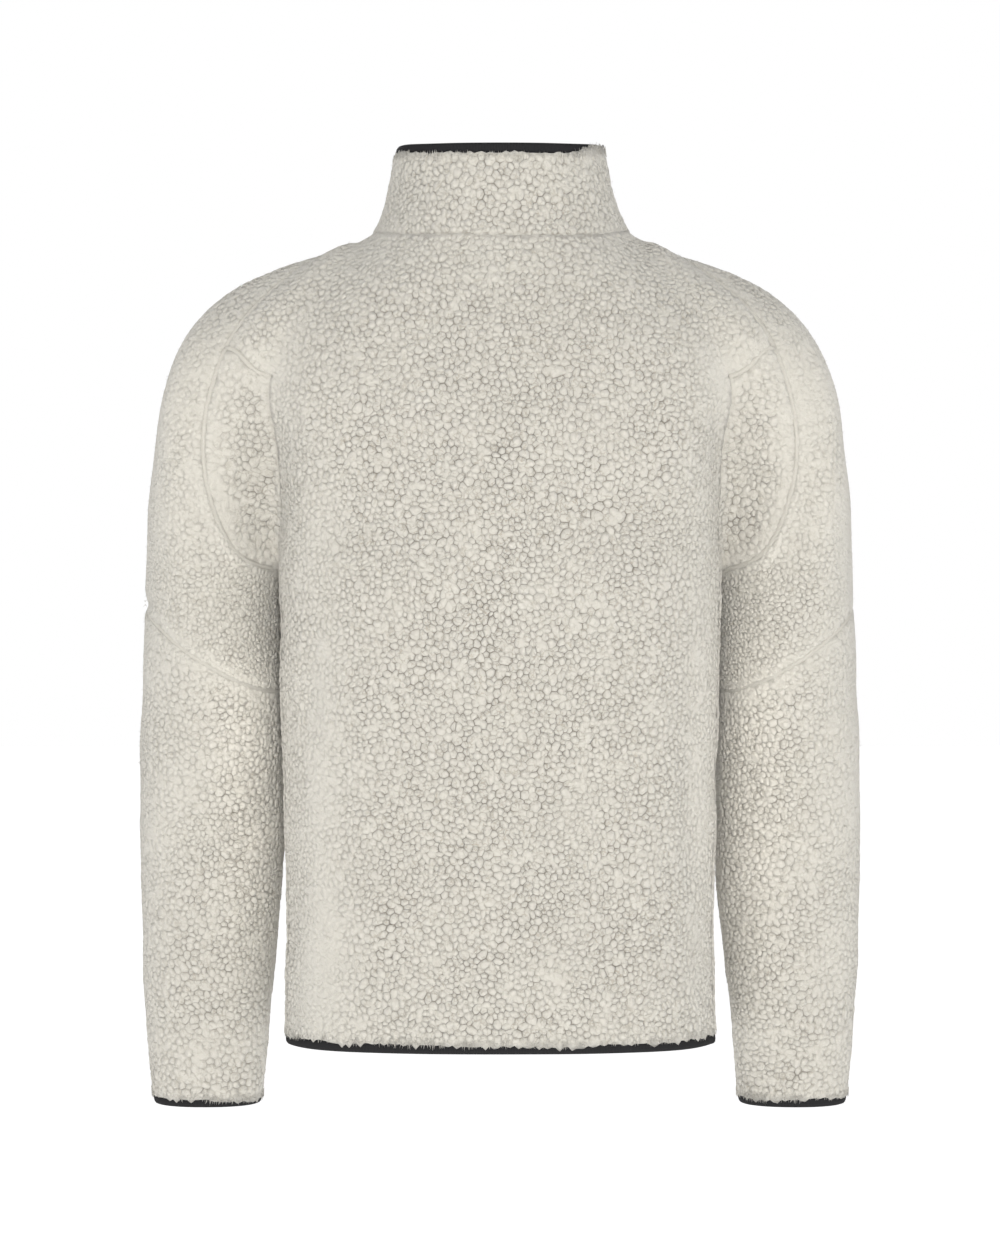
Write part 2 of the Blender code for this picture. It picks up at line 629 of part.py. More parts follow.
def zip_slider(edge, material, collection, cutters):
    """The slider at the collar top, with a bridge, and the pull that hangs on the bridge."""
    lips, outward, _ = edge
    faces = lips - outward * ZIP_TAPE_GAP
    z = faces[-1][2] - SLIDER_BELOW_TOP
    seat = np.array([0.0] + [np.interp(z, faces[:, 2], faces[:, k]) for k in (1, 2)])
    up = faces[-1] - faces[-2]
    up = np.array([0, up[1], up[2]]) / np.linalg.norm(up[1:])
    out = np.cross([-1, 0, 0], up)
    sideways = np.array([-1.0, 0, 0])

    centre = seat + out * (SEAM_GAP + SLIDER_THICK / 2)
    half, long = SLIDER_WIDTH / 2, SLIDER_LENGTH / 2
    body = plate("zip_slider", [rounded_outline(-half, half, -long, long, SLIDER_ROUND)], SLIDER_THICK,
                 placed(centre, sideways, up), material, collection)

    axis = seat + out * (SEAM_GAP + SLIDER_THICK + BRIDGE_HOLE_HIGH / 2)
    low, high = -BRIDGE_BELOW_AXIS, BRIDGE_HOLE_LONG - BRIDGE_BELOW_AXIS
    foot, roof = -BRIDGE_HOLE_HIGH / 2, BRIDGE_HOLE_HIGH / 2
    profile = [(low - BRIDGE_LEG, foot - BRIDGE_SUNK), (low, foot - BRIDGE_SUNK), (low, roof), (high, roof),
               (high, foot - BRIDGE_SUNK), (high + BRIDGE_LEG, foot - BRIDGE_SUNK)]
    shoulder = roof + BRIDGE_ROOF - BRIDGE_ROUND
    profile += arc((high + BRIDGE_LEG - BRIDGE_ROUND, shoulder), BRIDGE_ROUND, 0, 90)
    profile += arc((low - BRIDGE_LEG + BRIDGE_ROUND, shoulder), BRIDGE_ROUND, 90, 180)
    bridge = plate("bridge", [profile], BRIDGE_WIDTH, placed(axis, up, out), material, cutters)
    bridge.hide_render = True
    bridge.display_type = "WIRE"
    union = body.modifiers.new("bridge", "BOOLEAN")
    union.operation = "UNION"
    union.object = bridge

    half, slot = PULL_WIDTH / 2, PULL_SLOT_WIDTH / 2
    outline = rounded_outline(-half, half, -PULL_LENGTH, PULL_BAR / 2, PULL_ROUND)
    hole = rounded_outline(-slot, slot, -PULL_SLOT_END, -PULL_BAR / 2, PULL_SLOT_ROUND)
    plate("zip_pull", [outline, hole], PULL_THICK, placed(axis, sideways, up), material, collection)


# ---------------------------------------------------------------- the jacket
def new_materials():
    materials = {}
    for name, (colour, roughness, metallic) in COLOURS.items():
        material = bpy.data.materials.new(name)
        material.use_nodes = True
        shader = material.node_tree.nodes["Principled BSDF"]
        shader.inputs["Base Color"].default_value = (*colour, 1)
        shader.inputs["Roughness"].default_value = roughness
        shader.inputs["Metallic"].default_value = metallic
        materials[name] = material
    return materials


def main():
    for obj in list(bpy.data.objects):
        bpy.data.objects.remove(obj)
    collection = bpy.data.collections.new("sherpa_jacket")
    cutters = bpy.data.collections.new("cutters")
    for each in (collection, cutters):
        bpy.context.scene.collection.children.link(each)
    materials = new_materials()

    points, quads, panels = smooth_surface(build_cage(), SUBDIVISIONS)
    normals = normals_of(points, quads)
    for name in sorted(set(panels)):
        wall(name, points, normals, quads[panels == name], materials["pile"], collection)

    on_sleeve, on_collar = np.char.startswith(panels, "sleeve"), panels == "collar"
    body, collar = quads[~on_sleeve & ~on_collar], quads[on_collar]
    in_neck = set(np.unique(body)) & set(np.unique(collar))
    by_zip = (abs(points[:, 0]) < ZIP_EDGE_X + EDGE_REACH) & (points[:, 1] > 0)
    in_front = {i for i in np.unique(collar) if by_zip[i]}
    top = max(points[i][2] for i in in_front)
    bound = {
        "hem_binding": (body, lambda i: points[i][2] < TORSO[0][0] + EDGE_REACH),
        "collar_binding": (collar, lambda i: i not in in_neck
                           and (i not in in_front or points[i][2] > top - EDGE_REACH)),
    }
    for word in SIDES:
        lower = quads[panels == f"sleeve_lower_{word}"]
        bound[f"cuff_binding_{word}"] = (lower, lambda i: points[i][2] < CUFF_LINE_Z)
    for name, (faces, test) in bound.items():
        chain, closed = border_chain(faces, test)
        binding(name, points, normals, chain, closed, materials["binding"], collection)

    for word, side in SIDES.items():
        own = points[quads[:, 0]][:, 0] * side > 0
        edge = front_edge(side, points, normals, quads[(panels == f"front_{word}") | (on_collar & own)])
        zip_tape(word, side, edge, materials["zip_tape"], collection)
    zip_slider(edge, materials["zip_metal"], collection, cutters)


main()
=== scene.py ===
"""Hip-length sherpa jacket with a stand collar, filled out as if worn: the looks.

The panels repeat the section tables of the jacket's solids, in millimetres, on a finer surface.
Each panel is flattened, filled with clumps of pile and closed by its knitted ground behind.
"""

import json
import math

import bpy
import numpy as np
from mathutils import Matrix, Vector
from mathutils.geometry import delaunay_2d_cdt

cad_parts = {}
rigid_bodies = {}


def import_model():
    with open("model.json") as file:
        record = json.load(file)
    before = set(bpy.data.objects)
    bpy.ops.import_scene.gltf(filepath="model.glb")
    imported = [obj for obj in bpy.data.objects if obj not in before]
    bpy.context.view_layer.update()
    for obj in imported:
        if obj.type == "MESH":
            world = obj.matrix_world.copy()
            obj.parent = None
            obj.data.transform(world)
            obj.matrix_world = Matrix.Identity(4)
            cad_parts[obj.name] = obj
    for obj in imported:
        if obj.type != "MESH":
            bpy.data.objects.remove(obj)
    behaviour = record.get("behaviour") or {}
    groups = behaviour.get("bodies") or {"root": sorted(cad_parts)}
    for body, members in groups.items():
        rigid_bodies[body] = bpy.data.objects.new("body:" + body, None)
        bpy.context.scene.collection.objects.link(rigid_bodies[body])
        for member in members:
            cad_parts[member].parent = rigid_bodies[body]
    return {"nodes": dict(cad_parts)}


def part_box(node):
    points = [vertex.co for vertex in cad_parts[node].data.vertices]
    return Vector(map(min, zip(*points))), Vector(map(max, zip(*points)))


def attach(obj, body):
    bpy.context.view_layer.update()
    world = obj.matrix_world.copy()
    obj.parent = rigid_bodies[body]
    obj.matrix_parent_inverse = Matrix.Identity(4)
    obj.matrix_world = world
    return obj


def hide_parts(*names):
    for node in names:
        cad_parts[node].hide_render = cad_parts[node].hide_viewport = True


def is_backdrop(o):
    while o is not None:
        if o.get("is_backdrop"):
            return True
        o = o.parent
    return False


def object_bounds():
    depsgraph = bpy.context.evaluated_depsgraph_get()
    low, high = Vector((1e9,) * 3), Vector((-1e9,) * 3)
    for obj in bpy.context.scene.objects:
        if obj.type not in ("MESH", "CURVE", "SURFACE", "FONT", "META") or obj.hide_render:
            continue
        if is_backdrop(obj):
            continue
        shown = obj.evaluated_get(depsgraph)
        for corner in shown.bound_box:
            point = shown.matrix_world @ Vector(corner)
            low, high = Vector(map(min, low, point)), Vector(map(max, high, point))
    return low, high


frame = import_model()
cad_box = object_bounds()

# ---------------------------------------------------------------- the jacket's sizes, millimetres
MM = 0.001
WALL = 6.0  # backing and pile together
SEAM_GAP = 0.3
SUBDIVISIONS = 3
FITTING_ROUNDS = 12  # until the smooth surface passes through the table's points

ARMPIT_Z = -291.6
SIDE_Y = -20.0  # the torso is widest here
TORSO_SQUARENESS = 0.86
SLEEVE_SQUARENESS = 0.92
ZIP_EDGE_X = 9.0  # half the channel between the two fronts
LOWER_ROWS = 5

# Torso sections below the armpit: z, half the width, back y, front y.
TORSO = (
    (-675.5, 181.2, -121.0, 122.0),
    (-600.0, 178.8, -123.0, 123.0),
    (-500.0, 181.0, -125.0, 126.0),
    (-400.0, 184.0, -129.0, 131.0),
    (-291.6, 185.5, -134.0, 138.0),
)
# Angle round each half of the torso section, from the centre back, of the lines that run up it.
# Line 4 is the side panel's back seam, 6 to 8 pass under the arm, 8 is its front seam, 14 the zip.
LINE_ANGLES = (0, 14, 31, 56, 85, 92, 100, 110, 120, 129, 139, 149, 159, 168.5, None)
SIDE_BACK, ARM_BACK, ARM_UNDER, ARM_FRONT, ZIP = 4, 6, 7, 8, 14
NECK_BACK, NECK_FRONT = 3, 11  # the lines that end where shoulder seam and collar meet
LINES_BACK = tuple(range(0, ARM_BACK + 1))
LINES_FRONT = tuple(range(ARM_FRONT, ZIP + 1))
SHORT_SEAM_ROW = 4  # the row where the side panel ends, above the crease behind the arm

# Rows up the back from the armpit to the neck and shoulder: centre back, the rounding of the back,
# the body's edge with the crease behind the arm, the arm side of the crease, the armhole seam.
BACK_COLUMNS = ("centre_y", "centre_z", "round_x", "round_y", "round_z", "edge_x", "edge_y", "edge_z",
                "crease_x", "crease_y", "crease_z", "armhole_x", "armhole_y", "armhole_z")
BACK = (
    (-135, -247, 162, -82, -248, 185, -36, -251, 193.5, -16, -263, 214.0, -34, -276),
    (-134, -204, 162, -87, -205, 186, -41, -209, 207.0, -34, -221, 239.5, -47, -234.5),
    (-130, -161, 163, -91, -163, 189, -51, -167, 215.5, -52, -171, 248.5, -53.5, -172),
    (-121, -116, 163, -88, -119, 191.5, -65, -124, 212.0, -63.5, -112, 230.0, -54, -99),
    (-106, -62, 139, -64, -50, 160.0, -54, -48, 177.0, -46, -48, 192.0, -34, -48),
    (-88, -8, 110.5, 0, 0, 125.0, 2, -6.5, 139.0, 3, -12.5, 153.0, 4, -18),
)
# The same rows up the front: armhole seam, front of the arm crease, chest edge, chest, centre front.
FRONT_COLUMNS = ("armhole_x", "armhole_y", "armhole_z", "crease_x", "crease_y", "crease_z",
                 "chest_x", "chest_y", "chest_z", "round_x", "round_y", "round_z",
                 "centre_y", "centre_z")
FRONT = (
    (190, 78, -262, 170, 79, -258, 146, 94, -251, 116, 114, -248, 139.5, -247),
    (203, 88, -214, 180, 83, -212, 154, 94, -208, 120, 110, -205, 138, -204),
    (205, 88, -160, 183, 82, -162, 157, 89, -163, 122, 103, -163, 131, -163),
    (198, 77, -106, 178, 74, -112, 154, 80, -115, 122, 90, -117, 119, -128),
    (179, 49, -54, 161, 52, -54, 142, 54, -54, 121, 59, -54, 107, -95),
    (153, 4, -18, 139, 3, -12.5, 125, 2, -6.5, 110.5, 0, 0, 97, -66),
)
# How far between centre and rounding the two lines in between lie. The curve there mixes a round
# one and a soft one.
BETWEEN = (0.36, 0.68)
ROUND_SHARE, ROUND_POWER, SOFT_POWER = 0.38, 2.2, 1.7
NECK_LINE_BACK = ((44, -80.5, -7), (85, -52, -4.2))
NECK_LINE_FRONT = ((95, 45, -27), (55, 83, -57))

# Sleeve rings from the armhole to the cuff: outer, back, inner and front points.
SLEEVE_COLUMNS = ("outer_x", "outer_y", "outer_z", "back_x", "back_y", "back_z",
                  "inner_x", "inner_y", "inner_z", "front_x", "front_y", "front_z", "armhole_share")
SLEEVE = (
    (212.5, 8, -39, 254.0, -49, -216, 181.5, 35.5, -305, 222, 94, -196, 0.60),
    (263.0, 12, -83, 257.0, -47.5, -240, 182.5, 35, -322, 233, 96, -218, 0.30),
    (288.0, 17, -160, 254.5, -46.5, -275, 182.5, 35, -342, 240, 97, -254, 0.10),
    (298.5, 21.5, -238, 249.5, -45.5, -318, 182.5, 35, -363, 243, 97, -300, 0.0),
    (302.5, 26, -315, 245.0, -44, -366, 182.5, 36, -385, 243, 97, -345, 0.0),
    (306.0, 31, -385, 245.0, -37, -420, 182.5, 39, -432, 244, 98, -402, 0.0),
    (308.5, 37, -455, 246.0, -27, -478, 183.0, 43, -486, 246, 100, -464, 0.0),
    (309.0, 43, -523, 247.0, -16, -538, 184.5, 47, -543, 247, 101, -528, 0.0),
    (308.5, 50, -590, 249.0, -4, -599, 190.5, 52, -603, 249, 101, -592, 0.0),
    (306.0, 57, -660, 251.5, 10, -668, 198.5, 58, -670, 251, 101, -661, 0.0),
    (301.0, 62, -735.5, 252.5, 23, -737, 204.5, 62, -735.5, 252, 101, -734.5, 0.0),
)
ARMHOLE_MIDDLE = ((246, -50.5, -203), (204.5, 88.5, -187))  # back and front, halfway round
ELBOW_RING = 5

# Collar rings above the neck seam: share of the way up, and how the outline narrows on the way.
COLLAR_RINGS = ((0.32, 0.50), (0.66, 0.80), (1.0, 1.0))
COLLAR_TOP_BACK = ((0, -77, 61.5), (37, -70.5, 62.0), (71, -46, 64.0), (90.5, -1, 66.0))
COLLAR_TOP_FRONT = ((78, 40, 53), (46, 72, 27), (9, 82, 12))

# Rounded section of the folded knit tape on the bound edges: out of the wall, past its edge.
BINDING_SECTION = (
    (-1.9, 0.0), (-1.45, 2.2), (-1.2, 4.6), (-1.5, 6.8), (-2.3, 8.2), (-3.4, 8.7),
    (-4.5, 8.2), (-5.2, 6.6), (-5.5, 4.4), (-5.4, 2.0), (-5.1, 0.0), (-3.5, -0.4),
)
BINDING_STEP = 3.0

ZIP_TAPE_THICK, ZIP_TAPE_REACH, ZIP_TAPE_GAP = 1.2, 16.0, 0.7  # reach from the middle, gap to the wall
TAPE_LOW = ((0, 0, -7.5), (0, 0, 0), (0, 0, -7.5))  # the tapes reach down over the binding
# Teeth: pitch, height, chamfer and the width it is taken from, the lowest tooth above the zip's end.
# Their outline: across from the middle, along the zip.
TOOTH_PITCH, TOOTH_HIGH, TOOTH_CHAMFER, TOOTH_SPAN, TEETH_FROM = 1.5, 2.3, 0.35, 3, 3.0
TOOTH_OUTLINE = (
    (-1.2, -0.35), (-0.7, -0.62), (0.0, -0.62), (0.8, -0.36), (3.0, -0.5), (3.5, -0.3),
    (3.5, 0.3), (3.0, 0.5), (0.8, 0.36), (0.0, 0.62), (-0.7, 0.62), (-1.2, 0.35),
)
# Top stops, and the box at the hem: across, out, along. Then how far the stops lie from the zip's
# end and its middle, how far the box lies below the zip's end, and how both stand off the tape.
STOP_SIZE, BOX_SIZE = (2.6, 1.4, 3.4), (4.6, 1.7, 8.5)
STOP_BELOW, STOP_APART, BOX_LOW, BLOCK_OFF, BLOCK_CHAMFER = 2.6, 1.9, 6.5, 0.1, 0.35

SIDES = {"left": -1, "right": 1}
CUFF_LINE_Z, SLEEVE_INSIDE_X, COLLAR_REACH_X = -700.0, 181.5, 112.0
EDGE_REACH = 0.6  # how near to an edge a point lies on it
CUT_TURN = 3  # degrees between the ways that a cut is laid when it is measured

# Soft creases, both ends, how wide and how deep; a negative depth is a ridge. The last column says
# on which sides they lie: 1 is the wearer's right.
CREASE_COLUMNS = ("x1", "y1", "z1", "x2", "y2", "z2", "width", "depth", "sides")
CREASES = (
    (306, 30, -392, 262, 100, -352, 11, 2.6, (1, -1)),  # outside of the elbow
    (300, 0, -400, 250, -38, -424, 12, 1.6, (1, -1)),
    (205, 10, -452, 240, -30, -500, 14, 2.8, (1,)),  # inside of the elbow
    (200, 10, -478, 246, -24, -540, 15, 2.4, (-1,)),
    (214, 90, -440, 262, 100, -500, 15, 2.6, (1, -1)),
    (232, -20, -640, 290, 24, -676, 16, 1.8, (-1,)),  # above the cuff
    (236, -10, -610, 292, 20, -650, 15, 1.5, (1,)),
    (150, -96, -300, 168, -80, -452, 20, 3.2, (-1,)),  # from the arm down the back
    (156, -92, -330, 170, -78, -560, 18, 2.4, (1,)),
    (118, -118, -520, 108, -118, -660, 22, -2.0, (-1,)),
    (84, -122, -480, 92, -120, -640, 24, 2.2, (1,)),
    (40, -128, -560, 30, -122, -668, 26, -1.6, (1,)),
    (150, 60, -260, 90, 122, -330, 22, 3.4, (1,)),  # from the arm across the chest
    (148, 62, -250, 96, 118, -300, 20, 2.8, (-1,)),
    (160, 76, -300, 150, 92, -470, 20, 2.6, (-1,)),
    (120, 108, -430, 146, 94, -600, 22, 2.4, (1,)),
    (80, 122, -520, 66, 122, -650, 24, -1.8, (1, -1)),
    (172, 40, -420, 168, 60, -600, 18, 2.0, (1, -1)),
)
CREASE_WAVE, CREASE_UNEVEN = 70.0, 0.35
CREASE_ARCH, CREASE_TAPER = (0.12, 0.76), 1.2  # the part of a sine's arch that the depth follows
CREASE_ROUND = 0.85  # a crease reaches further round the body than into it
NOTCH_PLACE, NOTCH_REACH, NOTCH_DEPTH = (-303.0, 5.0, -313.0), (30.0, 30.0, 5.0), 3.4  # elbow seam, left
DRAPE_WAVE, DRAPE_LIFT = 95.0, 0.9
ZIP_FADE, LOW_FADE, TOP_FADE = 60.0, 60.0, 50.0  # creases run out this near to a free edge

# Soft fields: how many waves they mix, and how their lengths spread.
FIELD_WAVES, FIELD_SPREAD = 14, (0.7, 1.6)
# Where each soft field and each series of random draws starts.
CREASE_SEED, DRAPE_SEED, CLUMP_SEED, OVERHANG_SEED, RELIEF_SEED, BUNCH_SEED = 3, 5, 11, 17, 23, 29
PANEL_SEED, LOCK_SEED = 100, 7

# The pile: clumps between crevices.
CLUMP_SPACING, TRIES = 4.3, 6.5  # least distance between clump middles, tries for each place
CLUMP_WAVE, CLUMP_UNEVEN, CLUMP_RANGE = 60.0, 0.10, (0.8, 1.3)
LARGER_CLUMPS = 0.12  # how much larger they are on the collar and at the cuffs
COLLAR_CLUMPS_Z, CUFF_CLUMPS_Z = (-5.0, 15.0), (-640.0, -700.0)  # from where to where they grow
CELL_SHARE, CELLS_ROUND = 0.6, 3  # the grid that finds near clumps
BORDER_STEP, BORDER_KEEP = 3.4, 0.66  # step along a panel's border, and how near to it clumps may lie
CORNER_COSINE, MERGE_BELOW, NO_AREA = 0.5, 1e-5, 1e-9
SEAM_DEPTH, LIP_DEPTH, BELOW_EDGE = 1.9, 2.6, 0.5
CREVICE_DEPTH, CREVICE_SPREAD = (0.1, 2.9), (0.95, 0.8)  # many clumps run into one another
EDGE_CREVICE, BELOW_CREVICE = 0.7, 0.4  # shallower beside a seam, and how far below it at least
OVERHANG_CREVICE = 0.8  # deepest crevice where the pile hangs over a binding
CLUMP_INSET = (0.78, 0.93)  # where a clump's shoulder lies on the way to the crevice
CLUMP_WEIGHT = (0.55, 1.6)  # how a crevice lies between large clumps and small ones
SHOULDER, SHOULDER_UNEVEN, CROWN_UNEVEN = 0.22, 0.09, 0.20
# Painted shade on the shoulders of the clumps.
SHOULDER_SHADE = 0.08
PLAIN_SEAM_DEPTH, PLAIN_SEAM_PAST = (0.1, 0.7), 0.15  # at the neck and side seams, without bands
AT_ONCE = 500  # places whose distances are worked out together
# Painted shade at a panel's border: beside a band, and elsewhere.
BANDED_EDGE_SHADE, UNBANDED_EDGE_SHADE = 0.7, 0.1
RELIEF, RELIEF_WAVE, RELIEF_UNEVEN, RELIEF_RANGE = 1.05, 70.0, 0.15, (0.18, 1.5)
# Pile past the edge: how far at some x from left to right, how ragged and uneven, how deep it lies.
OVERHANG_WAVE, OVERHANG_LEAST, HANGS_FROM = 28.0, -1.0, 0.5
OVERHANG = {
    "hem": (((-170, 0.1), (0, 1.8), (170, 0.1)), 4.0, 0.9, 0.5),
    "cuff": (((-300, 0.6), (-250, 1.0), (-236, 3.5), (236, 1.0), (300, 0.6)), 3.4, 0.9, 0.5),
    "collar_top": (((-95, 1.6), (-50, -0.8), (55, -0.8), (66, 1.5), (78, 7.6)), 2.4, 0.6, 0.2),
    "zip": (((0, 0.2),), 1.6, 0.2, 1.6),
}
# Zones where the pile is brushed smooth: middle, reach each way, how much smoother, which sides. It
# is rougher where the number is below 0, and its colour there is lightened as painted light.
SMOOTH_COLUMNS = ("x", "y", "z", "rx", "ry", "rz", "less", "sides")
SMOOTH_ZONES = (
    (304, 0, -330, 54, 80, 420, 0.74, (1, -1)),  # outside of the sleeves
    (268, -10, -150, 48, 90, 110, 0.6, (1, -1)),
    (152, -90, -480, 24, 60, 250, 0.8, (-1,)),
    (169, -80, -480, 13, 60, 250, 0.7, (1,)),
    (183, -70, -115, 20, 50, 55, 0.7, (1, -1)),  # beside the armholes
    (130, -50, -22, 60, 60, 26, 0.4, (1, -1)),  # shoulders
    (104, -20, 30, 22, 60, 45, 0.55, (-1,)),
    (104, -20, 30, 16, 60, 45, 0.35, (1,)),
    (138, -90, -650, 45, 60, 80, 0.4, (-1,)),
    (206, -40, -470, 34, 70, 210, -0.25, (1, -1)),  # inside of the sleeves, rougher, and painted lighter as painted light
    (120, 110, -560, 40, 60, 160, 0.4, (1, -1)),
    (0, 0, -692, 400, 400, 16, 0.45, (1,)),  # above the hem
    (170, 40, -420, 20, 40, 240, 0.5, (1, -1)),
)

# Loose locks of pile: how many, how long and wide, how far they stand off, how deep they are
# rooted, how they bend, lean and hang.
LOOSE_LOCKS, LOCK_LONG, LOCK_WIDE, LOCK_LIFT, LOCK_ROOT = 13000, (1.6, 3.4), 0.55, (0.2, 0.9), 0.5
LOCK_BEND, LOCK_LEAN, LOCK_HANG = 0.12, 0.5, 0.5
# At the bound edges: spacing along the edge, how far inside, length and width, roots, how they fan
# out and stand off, how many are kept, and how long those past the pile are.
EDGE_LOCK_STEP, EDGE_LOCK_IN, EDGE_LOCK_LONG = 0.55, 7.0, (2.5, 6.5)
EDGE_LOCK_WIDE, EDGE_LOCK_UNEVEN = 0.9, (0.6, 1.2)
EDGE_LOCK_ROOT, EDGE_LOCK_FAN, EDGE_LOCK_OFF = (-0.5, 0.3), 0.22, 0.08
EDGE_LOCK_KEPT, EDGE_LOCK_PAST = (0.55, 0.35), (2.2, 1.5)
BUNCH_WAVE, BUNCH_LONG = 14.0, 0.3

# Flat bands over the seams: section, across and out, and the step along them. Then the pile beside
# them, which is pressed down and smoother, and the stitches.
SEAM_SECTION = ((-2.0, -1.9), (-1.5, -1.05), (0, -0.95), (1.5, -1.05), (2.0, -1.9), (0, -2.8))
SEAM_STEP = 4.0
SHORT_SEAM_LOW_Z = -127.0  # side seams show no band below this
PRESSED, PRESSED_REACH, SMOOTH_BESIDE, SMOOTH_REACH = 0.95, 5.0, 0.7, 14.0  # pile beside a band
STITCH_PITCH, STITCH_LONG, STITCH_WIDE, STITCH_ROWS, STITCH_DEPTH = 2.3, 1.9, 0.5, (-1.0, 1.0), -0.95

# ---------------------------------------------------------------- stage and materials, metres
CAMERA_DISTANCE, CAMERA_Z, CAMERA_REACH, SENSOR = 3.4, -0.3315, 200.0, 24.0
HALF_VIEW = 0.53125  # half the picture's height at the origin's distance
FLOOR_Z = -1.35
# Colours of the pile: on top, painted shade deep in its crevices, in warmer patches, painted shade in
# fine splits. The last two are the first two, lightened as painted light on the inside of the sleeves.
PILE_LIGHT, PILE_CREVICE_SHADE = (0.456, 0.436, 0.388), (0.095, 0.073, 0.045)
PILE_WARM, PILE_SPLIT_SHADE = (0.432, 0.408, 0.355), (0.29, 0.26, 0.205)
PAINTED_LIGHT_TOP, PAINTED_LIGHT_CREVICE = (0.64, 0.606, 0.533), (0.18, 0.144, 0.094)
PATCH_SCALE, PATCH_SHARE, CREVICE_POWER = 22.0, 0.5, 1.2
PILE_PLAIN, PILE_ROUGH, PILE_SHEEN = (0.8, 0.77, 0.7), 0.95, 0.35
CLOTH_ROUGH, SHEEN_ROUGH, CURL_ROUGH = 0.9, 0.45, 0.6
# Fine splits within the clumps: their size in metres, width, how they waver and where they lie.
SPLIT_SIZE, SPLIT_WIDTH, SPLIT_SHARE, SPLIT_BUMP = 0.0062, 0.09, 0.6, 0.4
WAVER_SCALE, WAVER, SPLIT_PLACES, SPLIT_FROM_TO = 260.0, 0.006, 130.0, (0.3, 0.6)
CURL_SIZE, FIBRE_SIZE, FIBRE_SHARE, CURL_DEPTH, CURL_STRENGTH = 0.0015, 0.00045, 0.5, 0.0017, 0.8
# Knits: light colour, dark colour as painted shade in the hollows of the loops, pitch of the loops in
# metres, sheen.
KNITS = {
    "ground": ((0.49, 0.465, 0.41), (0.38, 0.355, 0.30), 0.0022, 0.3),
    "zip_tape_weave": ((0.035, 0.035, 0.038), (0.018, 0.018, 0.02), 0.0014, 0.1),
    "thread": ((0.56, 0.535, 0.475), (0.46, 0.435, 0.38), 0.0008, 0.2),
}
KNIT_WAVER, KNIT_LOOPS, KNIT_DEPTH, KNIT_STRENGTH = 1.2, 0.7, 0.0004, 0.6
# Binding colours: on the ribs, and between them as painted shade.
BINDING_LIGHT, BINDING_SHADE = (0.015, 0.0145, 0.015), (0.007, 0.007, 0.008)
BINDING_PITCH, BINDING_SPECULAR = 0.0013, 0.15
RIB_FIBRES, RIB_FIBRE_SHARE, RIB_DEPTH, RIB_STRENGTH = 1800.0, 0.4, 0.0003, 0.7
# Lacquers: colour, colour where it is worn, roughness, how metallic.
LACQUERS = {
    "zip_plastic": ((0.03, 0.03, 0.033), (0.07, 0.07, 0.075), 0.42, 0.0),
    "zip_lacquer": ((0.05, 0.05, 0.055), (0.3, 0.29, 0.28), 0.38, 0.85),
}
WORN_SCALE, WORN_POWER, WORN_ROUGH = 420.0, 4.0, 0.3
SCRATCH_SCALE, SCRATCH_DEPTH, SCRATCH_STRENGTH = 2600.0, 0.00008, 0.4
WORLD_LIGHT, ZENITH_LIGHT, DIMS_FROM_TO = 1.0, 0.25, (0.22, 0.45)  # the sky dims high up
FLOOR_COLOUR, FLOOR_GLOW, FLOOR_HALF = (0.92, 0.92, 0.92), 0.75, 30.0
# Lights: place in metres, width, watts.
LIGHTS = (
    ("camera_side", (0.1, -4.2, 0.3), 1.2, 145.0),
    ("side_left", (-3.0, -2.0, 0.2), 1.2, 16.0),
    ("side_right", (3.0, -2.0, 0.2), 1.2, 16.0),
    ("above", (0.2, -1.0, 2.6), 1.2, 12.0),
    ("behind_left", (-1.1, 3.9, 0.7), 1.4, 72.0),
    ("behind_right", (0.9, 4.0, 0.8), 1.4, 72.0),
)


# ---------------------------------------------------------------- small helpers
def unit(vectors):
    return vectors / np.linalg.norm(vectors, axis=1, keepdims=True)


def triangles(*corners):
    """Triangles from the numbers of their first, second and third corners."""
    return [np.stack(three, axis=1) for three in corners]


def diagonals(points, quads):
    """The two diagonals of each face."""
    a, b, c, d = (points[quads[:, k]] for k in range(4))
    return c - a, d - b


def mirrored(place, side):
    return side * place[0], place[1], place[2]


def named_place(row, name):
    """A place in a table's row, from its three columns."""
    return tuple(row[f"{name}_{axis}"] for axis in "xyz")


def between(values, index, share):
    """Values at shares of the way from some points of a line to the next."""
    share = share[:, None]
    return values[index] * (1 - share) + values[index + 1] * share


def placed(name, data, place=(0, 0, 0)):
    """A new object in the scene."""
    obj = bpy.data.objects.new(name, data)
    obj.location = place
    bpy.context.scene.collection.objects.link(obj)
    return obj


# ---------------------------------------------------------------- section points
def power(value, exponent):
    return math.copysign(abs(value) ** exponent, value)


def interpolate(table, z):
    """The columns after z, at a height between two rows, along a smooth curve."""
    rows = np.array(table, float)
    heights = rows[:, 0]
    slopes = np.gradient(rows[:, 1:], heights, axis=0)
    i = int(np.clip(np.searchsorted(heights, z) - 1, 0, len(rows) - 2))
    step = heights[i + 1] - heights[i]
    t = (z - heights[i]) / step
    a, b = rows[i, 1:], rows[i + 1, 1:]
    return (
        (2 * t**3 - 3 * t**2 + 1) * a
        + (t**3 - 2 * t**2 + t) * step * slopes[i]
        + (3 * t**2 - 2 * t**3) * b
        + (t**3 - t**2) * step * slopes[i + 1]
    )


def torso_point(line, z):
    """Where one line up the torso crosses the section at height z, on the right half."""
    half_width, back_y, front_y = interpolate(TORSO, z)
    if line == ZIP:
        angle = math.pi - math.asin((ZIP_EDGE_X / half_width) ** (1 / TORSO_SQUARENESS))
    else:
        angle = math.radians(LINE_ANGLES[line])
    reach = (back_y if angle < math.pi / 2 else front_y) - SIDE_Y
    x = half_width * math.sin(angle) ** TORSO_SQUARENESS
    y = SIDE_Y + reach * abs(math.cos(angle)) ** TORSO_SQUARENESS
    return x, y, z


